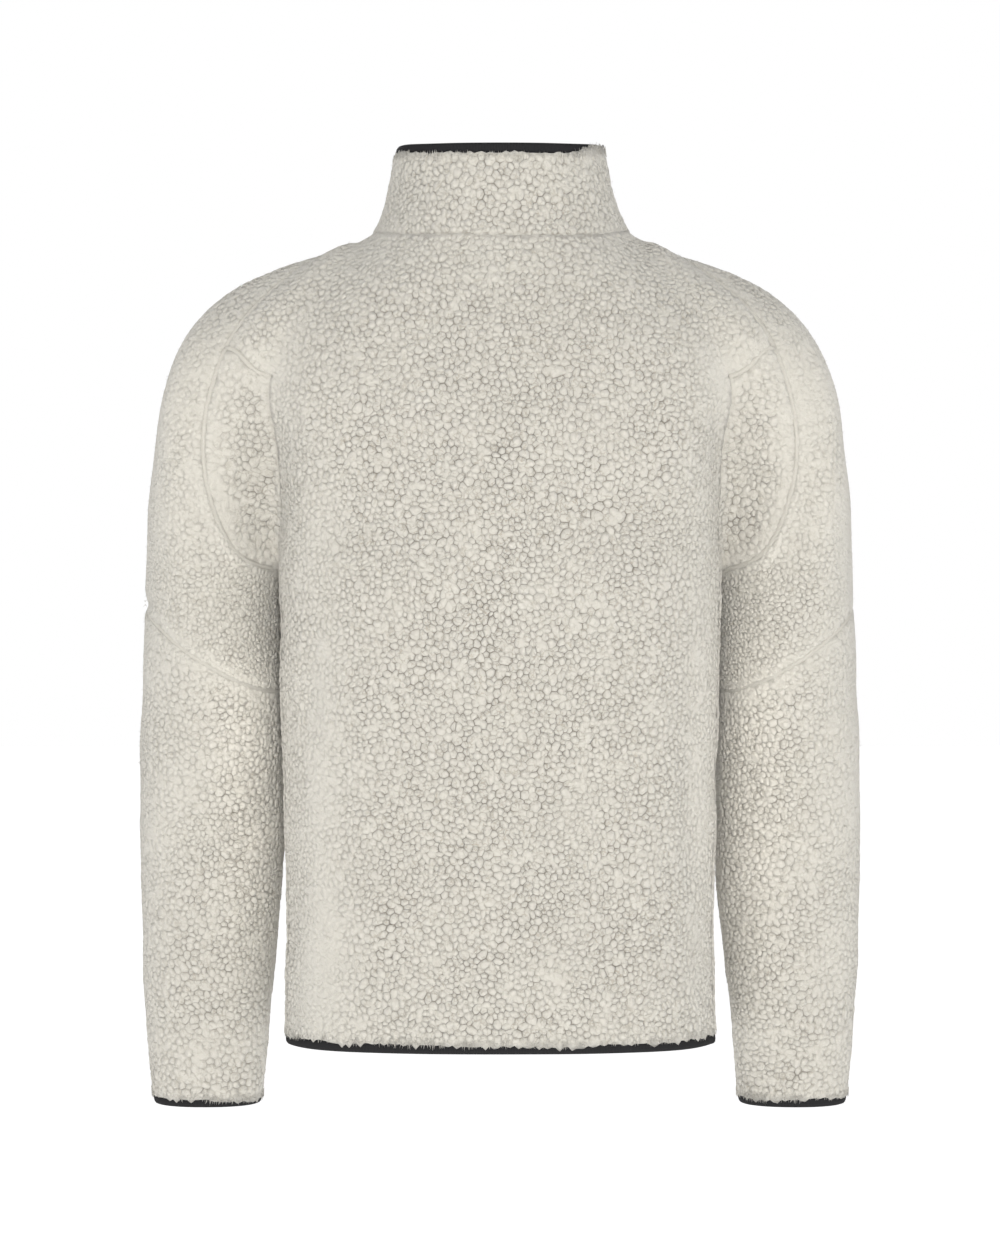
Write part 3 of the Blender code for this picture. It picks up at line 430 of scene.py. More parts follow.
def rounded(start, end, share):
    """A point between two, on a curve that leaves start sideways."""
    x = start[0] + (end[0] - start[0]) * share
    drop = 1 - (1 - share**ROUND_POWER) ** (1 / ROUND_POWER)
    edge = ROUND_SHARE * drop + (1 - ROUND_SHARE) * share**SOFT_POWER
    return x, start[1] + (end[1] - start[1]) * edge, start[2] + (end[2] - start[2]) * share


def back_point(line, row):
    """A point of the upper back: row 0 is at the armpit."""
    if row == 0:
        return torso_point(line, ARMPIT_Z)
    r = dict(zip(BACK_COLUMNS, BACK[row - 1]))
    centre, bend = (0, r["centre_y"], r["centre_z"]), named_place(r, "round")
    if line in (1, 2):
        if row == len(BACK):
            return NECK_LINE_BACK[line - 1]
        return rounded(centre, bend, BETWEEN[line - 1])
    if line == 0:
        return centre
    return named_place(r, {3: "round", 4: "edge", 5: "crease", 6: "armhole"}[line])


def front_point(line, row):
    """A point of the upper front: row 0 is at the armpit."""
    if row == 0:
        return torso_point(line, ARMPIT_Z)
    r = dict(zip(FRONT_COLUMNS, FRONT[row - 1]))
    centre = (ZIP_EDGE_X, r["centre_y"], r["centre_z"])
    if line in (12, 13):
        if row == len(FRONT):
            return NECK_LINE_FRONT[line - 12]
        return rounded(centre, named_place(r, "round"), BETWEEN[13 - line])
    if line == ZIP:
        return centre
    return named_place(r, {8: "armhole", 9: "crease", 10: "chest", 11: "round"}[line])


def ring_point(outer, back, inner, front, angle):
    """A point of a ring that passes through four points a quarter turn apart."""
    outer, back, inner, front = (np.array(p, float) for p in (outer, back, inner, front))
    centre = (outer + inner) / 2
    c, s = power(math.cos(angle), SLEEVE_SQUARENESS), power(math.sin(angle), SLEEVE_SQUARENESS)
    saddle = (back + front) / 2 - centre
    return centre + (outer - inner) / 2 * c + (back - front) / 2 * s + saddle * s * s


# ---------------------------------------------------------------- the cage
class Cage:
    """Points and four-sided faces, each face with the name of its panel."""

    def __init__(self):
        self.points, self.index, self.faces, self.panels = [], {}, [], []
        self.sharp, self.underarm = set(), set()

    def point(self, key, place):
        if key not in self.index:
            self.index[key] = len(self.points)
            self.points.append(np.array(place, float))
        return self.index[key]

    def face(self, panel, corners, side):
        """Corners run anticlockwise from outside on the right half."""
        self.faces.append(corners if side > 0 else corners[::-1])
        self.panels.append(panel)


def torso_cage(cage, word, side):
    """The half of the torso on one side. Returns the points of the armhole and of the neck."""
    rows = len(BACK)
    own = {}

    def key(line, row, part):
        if line == 0:
            return ("back middle", row)
        if row == rows and line in LINES_BACK[NECK_BACK:] + LINES_FRONT[: NECK_FRONT - ARM_FRONT + 1]:
            return ("shoulder", side, line if line <= ARM_BACK else ARM_BACK - (line - ARM_FRONT))
        return (part if row > 0 else "body", side, line, row)

    def add(line, row, part, place):
        own[line, row, part] = cage.point(key(line, row, part), mirrored(place, side))

    heights = np.linspace(TORSO[0][0], ARMPIT_Z, LOWER_ROWS + 1)
    for line in range(len(LINE_ANGLES)):
        for k, z in enumerate(heights):
            add(line, k - LOWER_ROWS, "body", torso_point(line, z))
    for row in range(1, rows + 1):
        for line in LINES_BACK:
            add(line, row, "upper", back_point(line, row))
        for line in LINES_FRONT:
            add(line, row, "upper", front_point(line, row))

    def at(line, row):
        return own[line, row, "upper" if row > 0 else "body"]

    def quad(panel, line, row):
        corners = [at(line, row), at(line + 1, row), at(line + 1, row + 1), at(line, row + 1)]
        cage.face(panel, corners, side)

    for row in range(-LOWER_ROWS, rows):
        for line in range(ZIP):
            if row >= 0 and ARM_BACK <= line < ARM_FRONT:
                continue
            if line >= ARM_FRONT:
                panel = f"front_{word}"
            elif SIDE_BACK <= line and row < SHORT_SEAM_ROW:
                panel = f"side_panel_{word}"
            else:
                panel = "back"
            quad(panel, line, row)
    armhole = [at(ARM_BACK, row) for row in range(rows, 0, -1)]
    armhole += [at(ARM_BACK, 0), at(ARM_UNDER, 0), at(ARM_FRONT, 0)]
    armhole += [at(ARM_FRONT, row) for row in range(1, rows)]
    neck = [at(line, rows) for line in LINES_BACK[: NECK_BACK + 1]]
    neck += [at(line, rows) for line in range(NECK_FRONT + 1, ZIP + 1)]
    return armhole, neck


def sleeve_cage(cage, word, side, armhole):
    """A sleeve. What the armhole differs from a plain ring runs out down the first rings."""
    count = len(armhole)
    angles = [2 * math.pi * k / count for k in range(count)]
    top, under = cage.points[armhole[0]], cage.points[armhole[count // 2]]
    first = []
    for angle in angles:
        back, front = (mirrored(p, side) for p in ARMHOLE_MIDDLE)
        first.append(ring_point(top, back, under, front, angle))
    rings = [armhole]
    for number, values in enumerate(SLEEVE, 1):
        r = dict(zip(SLEEVE_COLUMNS, values))
        four = [mirrored(named_place(r, name), side) for name in ("outer", "back", "inner", "front")]
        ring = []
        for k, angle in enumerate(angles):
            leftover = cage.points[armhole[k]] - first[k]
            place = ring_point(*four, angle) + leftover * r["armhole_share"]
            ring.append(cage.point(("sleeve", side, number, k), place))
        rings.append(ring)
    for number in range(len(SLEEVE)):
        part = "upper" if number < ELBOW_RING else "lower"
        upper, lower = rings[number], rings[number + 1]
        for k in range(count):
            m = (k + 1) % count
            cage.face(f"sleeve_{part}_{word}", [lower[k], lower[m], upper[m], upper[k]], -side)
        cage.underarm.add(tuple(sorted((lower[count // 2], upper[count // 2]))))


def collar_cage(cage, side, neck):
    """Half of the collar, from the neck seam to its top."""
    top = COLLAR_TOP_BACK + COLLAR_TOP_FRONT
    rings = [neck]
    for ring, (share, narrowing) in enumerate(COLLAR_RINGS, 1):
        line = []
        for k, index in enumerate(neck):
            base, end = cage.points[index], np.array(mirrored(top[k], side))
            flat = base + (end - base) * narrowing
            place = (flat[0], flat[1], base[2] + (end[2] - base[2]) * share)
            name = ("collar middle", ring) if k == 0 else ("collar", side, ring, k)
            line.append(cage.point(name, place))
        rings.append(line)
    for lower, upper in zip(rings, rings[1:]):
        for k in range(len(neck) - 1):
            cage.face("collar", [lower[k], lower[k + 1], upper[k + 1], upper[k]], side)
    cage.sharp |= {tuple(sorted(pair)) for pair in zip(neck, neck[1:])}


def build_cage():
    cage = Cage()
    for word in ("right", "left"):
        side = SIDES[word]
        armhole, neck = torso_cage(cage, word, side)
        sleeve_cage(cage, word, side, armhole)
        collar_cage(cage, side, neck)
    return cage


# ---------------------------------------------------------------- the smooth surface
class Surface:
    """Quads with edge tables, for Catmull-Clark subdivision with sharp seams."""

    def __init__(self, quads, count, sharp):
        self.quads, self.count = np.array(quads), count
        ends = np.stack([self.quads, np.roll(self.quads, -1, axis=1)], axis=2)
        ends = np.sort(ends, axis=2).reshape(-1, 2)
        self.edges, inverse, uses = np.unique(ends, axis=0, return_inverse=True, return_counts=True)
        self.face_edges = inverse.reshape(-1, 4)
        codes = self.edges[:, 0] * count + self.edges[:, 1]
        wanted = np.array(sorted(a * count + b for a, b in sharp), int)
        self.border = (uses == 1) | np.isin(codes, wanted)
        self.border_count, self.valence, self.face_count = (
            np.bincount(used.ravel(), minlength=count)
            for used in (self.edges[self.border], self.edges, self.quads)
        )

    def gather(self, index, values):
        total = np.zeros((self.count, 3))
        np.add.at(total, index, values)
        return total

    def around(self, edges, points):
        """The sum of each point's neighbours along some edges."""
        a, b = edges.T
        return self.gather(a, points[b]) + self.gather(b, points[a])

    def settled(self, points, inside, weight):
        """Points moved inside the surface, moved along its borders, and left alone at its corners."""
        along = (weight * points + self.around(self.edges[self.border], points)) / (weight + 2)
        done = np.where((self.border_count == 2)[:, None], along, inside)
        corner = (self.face_count == 1) | (self.border_count > 2) | (self.border_count == 1)
        done[corner] = points[corner]
        return done

    def limit(self, points):
        """Where each point ends up on the smooth surface."""
        n = self.valence[:, None]
        across = self.gather(self.quads.ravel(), points[np.roll(self.quads, 2, axis=1)].reshape(-1, 3))
        smooth = (n * n * points + 4 * self.around(self.edges, points) + across) / (n * (n + 5))
        return self.settled(points, smooth, 4)

    def halves(self, pairs):
        """The halves of some edges after one subdivision."""
        place = {(int(a), int(b)): self.count + i for i, (a, b) in enumerate(self.edges)}
        return {(end, place[pair]) for pair in pairs for end in pair}

    def subdivide(self, points):
        """The next, finer mesh: points and quads."""
        centres = points[self.quads].mean(axis=1)
        a, b = self.edges.T
        middles = (points[a] + points[b]) / 2
        sums = np.zeros_like(middles)
        np.add.at(sums, self.face_edges.ravel(), np.repeat(centres, 4, axis=0))
        inside = ~self.border
        edge_points = middles.copy()
        edge_points[inside] = (points[a] + points[b] + sums)[inside] / 4
        n = self.valence[:, None]
        face_mean = self.gather(self.quads.ravel(), np.repeat(centres, 4, axis=0))
        face_mean = face_mean / np.maximum(self.face_count, 1)[:, None]
        edge_mean = (self.gather(a, middles) + self.gather(b, middles)) / n
        moved = self.settled(points, (face_mean + 2 * edge_mean + (n - 3) * points) / n, 6)
        everything = np.concatenate([moved, edge_points, centres])
        e, f = self.count + self.face_edges, self.count + len(self.edges) + np.arange(len(self.quads))
        quads = np.stack(
            [np.stack([self.quads[:, k], e[:, k], f, e[:, k - 1]], axis=1) for k in range(4)], axis=1
        ).reshape(-1, 4)
        return everything, quads


def smooth_surface(cage, levels):
    """The cage's surface after some subdivisions, with every point on the smooth surface: places,
    normals, faces, panels, and the lines of the seams under the arms."""
    target = np.array(cage.points)
    surface = Surface(cage.faces, len(target), cage.sharp)
    points = target.copy()
    for _ in range(FITTING_ROUNDS):
        points += target - surface.limit(points)
    panels, sharp, underarm = np.array(cage.panels), cage.sharp, cage.underarm
    for _ in range(levels):
        sharp, underarm = surface.halves(sharp), surface.halves(underarm)
        points, quads = surface.subdivide(points)
        panels = np.repeat(panels, 4)
        surface = Surface(quads, len(points), sharp)
    points = surface.limit(points)
    lines = lines_down(points, underarm)
    return points, normals_of(points, surface.quads), surface.quads, panels, lines


def normals_of(points, quads):
    """Outward unit normal at each point, shared by the panels that meet there."""
    total = np.zeros_like(points)
    np.add.at(total, quads.ravel(), np.repeat(unit(np.cross(*diagonals(points, quads))), 4, axis=0))
    return unit(total)


# ---------------------------------------------------------------- soft random fields and creases
def soft_field(places, wave, seed):
    """A smooth uneven value at each place, about -1 to 1, with bumps about as long as the wave."""
    rng = np.random.default_rng(seed)
    total = np.zeros(len(places))
    for _ in range(FIELD_WAVES):
        direction = rng.normal(size=3)
        direction /= np.linalg.norm(direction)
        length, phase = wave * rng.uniform(*FIELD_SPREAD), rng.uniform(0, 2 * math.pi)
        total += np.sin(places @ direction * 2 * math.pi / length + phase)
    return total / math.sqrt(FIELD_WAVES)


def creased(points, normals):
    """The surface with its soft creases and slight unevenness."""
    uneven = 1 + CREASE_UNEVEN * soft_field(points, CREASE_WAVE, CREASE_SEED)
    lift = DRAPE_LIFT * soft_field(points, DRAPE_WAVE, DRAPE_SEED)
    for row in CREASES:
        c = dict(zip(CREASE_COLUMNS, row))
        for side in c["sides"]:
            start, end = (np.array([side * c[f"x{n}"], c[f"y{n}"], c[f"z{n}"]]) for n in (1, 2))
            along = end - start
            share = np.clip((points - start) @ along / (along @ along), 0, 1)
            away = points - (start + share[:, None] * along)
            across = np.sum(away * normals, axis=1)
            flat = np.sum(away**2, axis=1) - CREASE_ROUND * across**2
            taper = np.sin(math.pi * (CREASE_ARCH[0] + CREASE_ARCH[1] * share)) ** CREASE_TAPER
            lift -= c["depth"] * uneven * taper * np.exp(-flat / c["width"] ** 2)
    return points + normals * (lift * away_from_edges(points))[:, None]


def notched(places, normals):
    """Places drawn in where the elbow seam nicks the outline of the left sleeve."""
    away = (places - np.array(NOTCH_PLACE)) / np.array(NOTCH_REACH)
    return places - normals * NOTCH_DEPTH * np.exp(-np.sum(away**2, axis=1))[:, None]


def away_from_edges(points):
    """Nothing moves at the zip, the hem, the cuffs and the collar top."""
    x, y, z = points.T
    at_zip = np.where(y > 0, np.abs(x) / ZIP_FADE, 1.0)
    low = np.where(np.abs(x) > SLEEVE_INSIDE_X, z - SLEEVE[-1][2], z - TORSO[0][0])
    share = np.minimum(np.minimum(at_zip, low / LOW_FADE), (COLLAR_TOP_BACK[0][2] - z) / TOP_FADE)
    share = np.clip(share, 0, 1)
    return share * share * (3 - 2 * share)


# ---------------------------------------------------------------- flattening a panel
def lines_down(points, pairs):
    """The seams under the arms, each as its points from the armhole to the cuff."""
    beside = {}
    for a, b in sorted(pairs):
        beside.setdefault(a, []).append(b)
        beside.setdefault(b, []).append(a)
    lines = []
    ends = sorted(i for i, others in beside.items() if len(others) == 1)
    for start in (i for i in ends if points[i][2] > CUFF_LINE_Z):
        line = [start]
        while len(line) == 1 or len(beside[line[-1]]) > 1:
            line.append(next(i for i in beside[line[-1]] if i not in line[-2:-1]))
        lines.append(line)
    return lines


def cut_open(quads, lines):
    """The local faces of a panel, and the point that each local point comes from. A tube is opened
    along its cut, whose points are doubled on the side to the left of the way down."""
    used, local = np.unique(quads, return_inverse=True)
    local = local.reshape(-1, 4).copy()
    rank = {i: n for line in lines for n, i in enumerate(line)}
    doubled = {}
    for f, quad in enumerate(quads.tolist()):
        ranks = [rank.get(i, -math.inf) for i in quad]
        if any(ranks[k] >= 0 and ranks[(k + 1) % 4] == ranks[k] + 1 for k in range(4)):
            for k in range(4):
                if ranks[k] >= 0:
                    local[f, k] = doubled.setdefault(quad[k], len(used) + len(doubled))
    origin = np.concatenate([used, np.array(list(doubled), int)])
    return local, origin


def flattened(places, faces):
    """Flat places in millimetres, by Blender's unwrapping, the right way round."""
    mesh = bpy.data.meshes.new("flat")
    mesh.from_pydata([tuple(p) for p in places], [], [tuple(int(i) for i in f) for f in faces])
    obj = placed("flat", mesh)
    for other in bpy.context.view_layer.objects:
        other.select_set(other is obj)
    bpy.context.view_layer.objects.active = obj
    bpy.ops.object.mode_set(mode="EDIT")
    bpy.ops.mesh.select_all(action="SELECT")
    bpy.ops.uv.unwrap(method="CONFORMAL", margin=0.0)
    bpy.ops.object.mode_set(mode="OBJECT")
    found, corners = np.empty(len(mesh.loops) * 2), np.empty(len(mesh.loops), int)
    mesh.uv_layers.active.data.foreach_get("uv", found)
    mesh.loops.foreach_get("vertex_index", corners)
    flat = np.zeros((len(places), 2))
    flat[corners] = found.reshape(-1, 2)
    bpy.data.objects.remove(obj)
    bpy.data.meshes.remove(mesh)
    e, f = diagonals(flat, faces)
    flat_area = np.sum(e[:, 0] * f[:, 1] - e[:, 1] * f[:, 0]) / 2
    areas = np.linalg.norm(np.cross(*diagonals(places, faces)), axis=1) / 2
    if flat_area < 0:
        flat[:, 0] *= -1
    return flat * math.sqrt(areas.sum() / abs(flat_area)), areas


def cut_size(flat):
    """The smallest box round a flattened panel: width and length in metres."""
    best = None
    for degrees in range(0, 90, CUT_TURN):
        c, s = math.cos(math.radians(degrees)), math.sin(math.radians(degrees))
        size = np.ptp(flat @ np.array([[c, -s], [s, c]]), axis=0) * MM
        if best is None or size[0] * size[1] < best[0] * best[1]:
            best = size
    return tuple(round(float(v), 3) for v in sorted(best))


# ---------------------------------------------------------------- a panel's border
def free_edge(panel, place):
    """Which open edge of the jacket a border place lies on."""
    if panel.startswith("sleeve"):
        return "cuff"
    if abs(place[0]) < ZIP_EDGE_X + EDGE_REACH and place[1] > 0:
        return "zip"
    return "collar_top" if panel == "collar" else "hem"


def border_runs(panel, points, local, origin, across):
    """The border as runs of local points, each with what lies across it."""
    following = {a: b for a, b in border_loops(local)}
    start = next(iter(following))
    loop, labels = [start], []
    while True:
        a, b = loop[-1], following[loop[-1]]
        ga, gb = int(origin[a]), int(origin[b])
        other = across.get((gb, ga))
        if other is None:
            other = free_edge(panel, (points[ga] + points[gb]) / 2)
        labels.append("cut" if other == panel else other)
        if b == start:
            break
        loop.append(b)
    count = len(loop)
    turns = [i for i in range(count) if labels[i] != labels[i - 1] or is_corner(points, origin, loop, i)]
    runs = []
    for n, i in enumerate(turns):
        j = turns[(n + 1) % len(turns)]
        j += count if j <= i else 0
        runs.append(([loop[k % count] for k in range(i, j + 1)], labels[i]))
    return runs


def is_corner(points, origin, loop, i):
    a, b, c = (points[origin[loop[(i + k) % len(loop)]]] for k in (-1, 0, 1))
    first, second = b - a, c - b
    return np.dot(first, second) < CORNER_COSINE * np.linalg.norm(first) * np.linalg.norm(second)


def resampled(line, step):
    """Shares along a line of points at equal steps, as (index, share within the segment)."""
    lengths = np.linalg.norm(np.diff(line, axis=0), axis=1)
    reach = np.concatenate([[0], np.cumsum(lengths)])
    count = max(1, round(reach[-1] / step))
    at = np.linspace(0, reach[-1], count + 1)[:-1]
    index = np.clip(np.searchsorted(reach, at, side="right") - 1, 0, len(lengths) - 1)
    return index, (at - reach[index]) / lengths[index]


def border_of(panel, points, normals, flat, local, origin, across):
    """Places, normals, flat places, directions inward and labels of the border points, anticlockwise."""
    place, normal, spot, labels = [], [], [], []
    for run, label in border_runs(panel, points, local, origin, across):
        run = np.array(run)
        line = points[origin[run]]
        index, share = resampled(line, BORDER_STEP)
        for values, source in ((place, line), (normal, normals[origin[run]]), (spot, flat[run])):
            values.append(between(source, index, share))
        labels += [label] * len(index)
    place, normal = np.concatenate(place), unit(np.concatenate(normal))
    inward = unit(np.cross(normal, np.roll(place, -1, axis=0) - np.roll(place, 1, axis=0)))
    return place, normal, np.concatenate(spot), inward, labels


# ---------------------------------------------------------------- clumps of pile
def clump_scale(places):
    """How large the clumps are: largest on the collar and at the cuffs."""
    scale = 1 + CLUMP_UNEVEN * soft_field(places, CLUMP_WAVE, CLUMP_SEED)
    across = np.abs(places[:, 0])
    zones = ((COLLAR_CLUMPS_Z, across < COLLAR_REACH_X), (CUFF_CLUMPS_Z, across > SLEEVE_INSIDE_X))
    for (start, end), here in zones:
        scale += LARGER_CLUMPS * np.clip((places[:, 2] - start) / (end - start), 0, 1) * here
    return np.clip(scale, *CLUMP_RANGE)


def scattered(places, normals, flat, faces, areas, border, rng):
    """Clump middles over a panel, none nearer than the clump spacing: places, normals, flat places."""
    count = int(areas.sum() / CLUMP_SPACING**2 * TRIES)
    chosen = rng.choice(len(faces), count, p=areas / areas.sum())
    s, t = rng.random((2, count, 1))
    weights = ((1 - s) * (1 - t), s * (1 - t), s * t, (1 - s) * t)
    place, normal, spot = (
        sum(w * source[faces[chosen, k]] for k, w in enumerate(weights))
        for source in (places, normals, flat)
    )
    size = CLUMP_SPACING * CELL_SHARE
    low = flat.min(axis=0) - CELLS_ROUND * size
    cells = {}

    def cell(x, y):
        return int((x - low[0]) / size), int((y - low[1]) / size)

    for x, y in border:
        cells.setdefault(cell(x, y), []).append((x, y, BORDER_KEEP))
    kept = []
    reaches = clump_scale(place) * CLUMP_SPACING
    for i, ((x, y), reach) in enumerate(zip(spot.tolist(), reaches.tolist())):
        u, v = cell(x, y)
        near = (
            other
            for du in range(-CELLS_ROUND, CELLS_ROUND + 1)
            for dv in range(-CELLS_ROUND, CELLS_ROUND + 1)
            for other in cells.get((u + du, v + dv), ())
        )
        if all((x - ox) ** 2 + (y - oy) ** 2 > (share * reach) ** 2 for ox, oy, share in near):
            cells.setdefault((u, v), []).append((x, y, 1.0))
            kept.append(i)
    return place[kept], unit(normal[kept]), spot[kept]


def triangles_between(border, spots):
    """Triangles, anticlockwise, between the border points and the spots inside."""
    count, everything = len(border), np.concatenate([border, spots])
    loop = [(i, (i + 1) % count) for i in range(count)]
    _, _, faces, origin, _, _ = delaunay_2d_cdt([Vector(p) for p in everything], loop, [], 1, MERGE_BELOW)
    first = np.array([o[0] for o in origin])
    found = first[np.array([f for f in faces if len(f) == 3])]
    a, b, c = (everything[found[:, k]] for k in range(3))
    turn = (b - a)[:, 0] * (c - a)[:, 1] - (b - a)[:, 1] * (c - a)[:, 0]
    found[turn < 0] = found[turn < 0][:, ::-1]
    return found[np.abs(turn) > NO_AREA]


def on_band(panel, labels, place):
    """Which border places lie on a seam with a band."""
    return np.array([
        label == "cut" or label not in OVERHANG and has_band(panel, label, z)
        for label, z in zip(labels, place[:, 2])
    ])


def overhang(panel, labels, place, rng):
    """How far the pile hangs past the border, and how deep it lies there."""
    labels = np.array(labels)
    past, depth = np.full(len(labels), -SEAM_GAP / 2), np.full(len(labels), SEAM_DEPTH)
    ragged = rng.random(len(labels))
    plain = ~on_band(panel, labels, place) & ~np.isin(labels, list(OVERHANG))
    depth[plain] = rng.uniform(*PLAIN_SEAM_DEPTH, len(labels))[plain]
    past[plain] = PLAIN_SEAM_PAST
    uneven = soft_field(place, OVERHANG_WAVE, OVERHANG_SEED)
    for name, (reaches, rag, waves, down) in OVERHANG.items():
        here = labels == name
        reach = np.interp(place[:, 0], *zip(*reaches)) + waves * uneven
        past[here] = (np.maximum(reach, OVERHANG_LEAST) + rag * ragged**3)[here]
        depth[here] = down
    return past, depth


def nearest(places, others):
    """How far each place is from the nearest of some others."""
    if len(others) == 0:
        return np.full(len(places), np.inf)
    found = [np.sqrt(((part[:, None] - others[None]) ** 2).sum(axis=2).min(axis=1))
             for part in np.array_split(places, len(places) // AT_ONCE + 1)]
    return np.concatenate(found)


def sides_and_twins(tri, count):
    """The directed sides of the triangles, the side that runs back along each, and if there is one."""
    sides = np.stack([tri, np.roll(tri, -1, axis=1)], axis=2).reshape(-1, 2)
    codes = sides[:, 0] * count + sides[:, 1]
    order = np.argsort(codes)
    wanted = sides[:, 1] * count + sides[:, 0]
    twin = order[np.minimum(np.searchsorted(codes[order], wanted), len(codes) - 1)]
    return sides, twin, codes[twin] == wanted


def clump_faces(tri, rim, count):
    """Triangles over the clumps. The vertices are a top for each point, the first of them on the rim,
    a pit for each triangle between the points, and three shoulders for each triangle."""
    sides, twin, has_twin = sides_and_twins(tri, count)
    own = np.arange(len(sides))

    def pit(side):
        return count + side // 3

    def shoulder(side, end):
        """The shoulder of the clump at one end of a side, in that side's triangle."""
        return count + len(tri) + 3 * (side // 3) + (side % 3 + end) % 3

    inner, edge, last = has_twin & (sides[:, 0] >= rim), has_twin & (sides[:, 0] < rim), ~has_twin
    here, back = own[inner], twin[inner]
    return triangles(
        (sides[inner, 0], shoulder(back, 1), shoulder(here, 0)),
        (shoulder(back, 1), pit(back), pit(here)),
        (shoulder(back, 1), pit(here), shoulder(here, 0)),
        (sides[edge, 0], pit(twin[edge]), pit(own[edge])),
        (sides[last, 0], sides[last, 1], pit(own[last])),
    )


def pit_depths(tri, rim, relief, past, edge_depth, rng):
    """How deep the crevices are at the middle of each triangle."""
    least, most = CREVICE_DEPTH
    depth = relief * (least + (most - least) * rng.beta(*CREVICE_SPREAD, len(tri)))
    on_rim, nearest_rim = tri < rim, np.minimum(tri, rim - 1)
    at_edge = on_rim.sum(axis=1)
    low = np.where(on_rim, edge_depth[nearest_rim], 0).sum(axis=1) / np.maximum(at_edge, 1)
    beside = np.maximum(EDGE_CREVICE * depth, low * at_edge / 3 + BELOW_CREVICE)
    depth = np.where(at_edge > 0, beside, depth)
    hangs = np.where(on_rim, past[nearest_rim], 0).max(axis=1) > HANGS_FROM
    return np.where(hangs, np.minimum(depth, OVERHANG_CREVICE), depth)


def pile_panel(name, places, normals, flat, faces, areas, border, rng):
    """A closed panel: domed clumps of pile outside, with crevices between them, and the knitted ground
    inside. Returns vertices, triangles, how much painted shade each vertex gets, darkest deep in the
    crevices, how strongly the clumps stand out there, and how many of the triangles are pile."""
    edge_place, edge_normal, edge_spot, inward, labels = border
    place, normal, spot = scattered(places, normals, flat, faces, areas, edge_spot, rng)
    rim, count = len(edge_place), len(edge_place) + len(place)
    tri = triangles_between(edge_spot, spot)
    out = np.concatenate([edge_normal, normal])
    base = notched(np.concatenate([edge_place, place]), out)
    edge_place = base[:rim]
    past, edge_depth = overhang(name, labels, edge_place, rng)
    banded = on_band(name, labels, edge_place)

    away = nearest(np.concatenate([edge_spot, spot]), edge_spot[banded])
    relief = clump_relief(base) * (1 - SMOOTH_BESIDE * np.exp(-((away / SMOOTH_REACH) ** 2)))
    pressed = PRESSED * np.exp(-((away / PRESSED_REACH) ** 2))
    crown = np.where(np.arange(count) < rim, 0, rng.normal(0, CROWN_UNEVEN, count) * relief - pressed)
    tops = base + out * crown[:, None]
    tops[:rim] = edge_place - inward * past[:, None] - edge_normal * edge_depth[:, None]

    weight = rng.uniform(*CLUMP_WEIGHT, count)[tri][..., None]
    weight = weight / weight.sum(axis=1, keepdims=True)
    middle, up = np.sum(base[tri] * weight, axis=1), np.sum(out[tri] * weight, axis=1)
    tri_relief = relief[tri].mean(axis=1)
    depth = pit_depths(tri, rim, tri_relief, past, edge_depth, rng)
    pits = middle - up * depth[:, None]

    inset = rng.uniform(*CLUMP_INSET, count)[tri]
    high = -SHOULDER * relief[tri] + crown[tri] + rng.normal(0, SHOULDER_UNEVEN, tri.shape)
    shoulders = base[tri] + (middle[:, None] - base[tri]) * inset[..., None] + out[tri] * high[..., None]

    gap = inward * SEAM_GAP / 2
    ground = base - out * WALL
    ground[:rim] += gap
    lips = edge_place + gap - edge_normal * np.maximum(edge_depth + BELOW_EDGE, LIP_DEPTH)[:, None]
    behind = count + 4 * len(tri)
    here, there = np.arange(rim), (np.arange(rim) + 1) % rim
    lip_here, lip_there = behind + count + here, behind + count + there
    parts = clump_faces(tri, rim, count) + triangles((there, here, lip_here), (there, lip_here, lip_there))
    pile = sum(len(part) for part in parts)
    parts += triangles((lip_there, lip_here, behind + here), (lip_there, behind + here, behind + there))
    parts.append(behind + tri[:, ::-1])

    vertices = np.concatenate([tops, pits, shoulders.reshape(-1, 3), ground, lips])
    # Painted shade: how dark each vertex is painted, darkest deep in the crevices.
    painted_shade = np.concatenate([
        np.where(banded, BANDED_EDGE_SHADE, UNBANDED_EDGE_SHADE),
        np.zeros(count - rim),
        np.clip(depth * np.minimum(tri_relief, 1) / CREVICE_DEPTH[1], 0, 1),
        np.full(3 * len(tri), SHOULDER_SHADE),
        np.zeros(count + rim),
    ])
    all_relief = np.concatenate([relief, tri_relief, relief[tri].ravel(), np.zeros(count + rim)])
    return vertices, np.concatenate(parts), painted_shade, all_relief, pile


def zone_shares(places):
    """How far the places lie in each smooth zone, after how much smoother that zone is."""
    for row in SMOOTH_ZONES:
        z = dict(zip(SMOOTH_COLUMNS, row))
        for side in z["sides"]:
            away = places - np.array([side * z["x"], z["y"], z["z"]])
            away /= np.array([z["rx"], z["ry"], z["rz"]])
            yield z["less"], np.exp(-np.sum(away**2, axis=1))


def clump_relief(places):
    """How strongly the clumps stand out: the pile is brushed smooth in some zones."""
    relief = RELIEF + RELIEF_UNEVEN * soft_field(places, RELIEF_WAVE, RELIEF_SEED)
    for less, share in zone_shares(places):
        relief -= less * share
    return np.clip(relief, *RELIEF_RANGE)


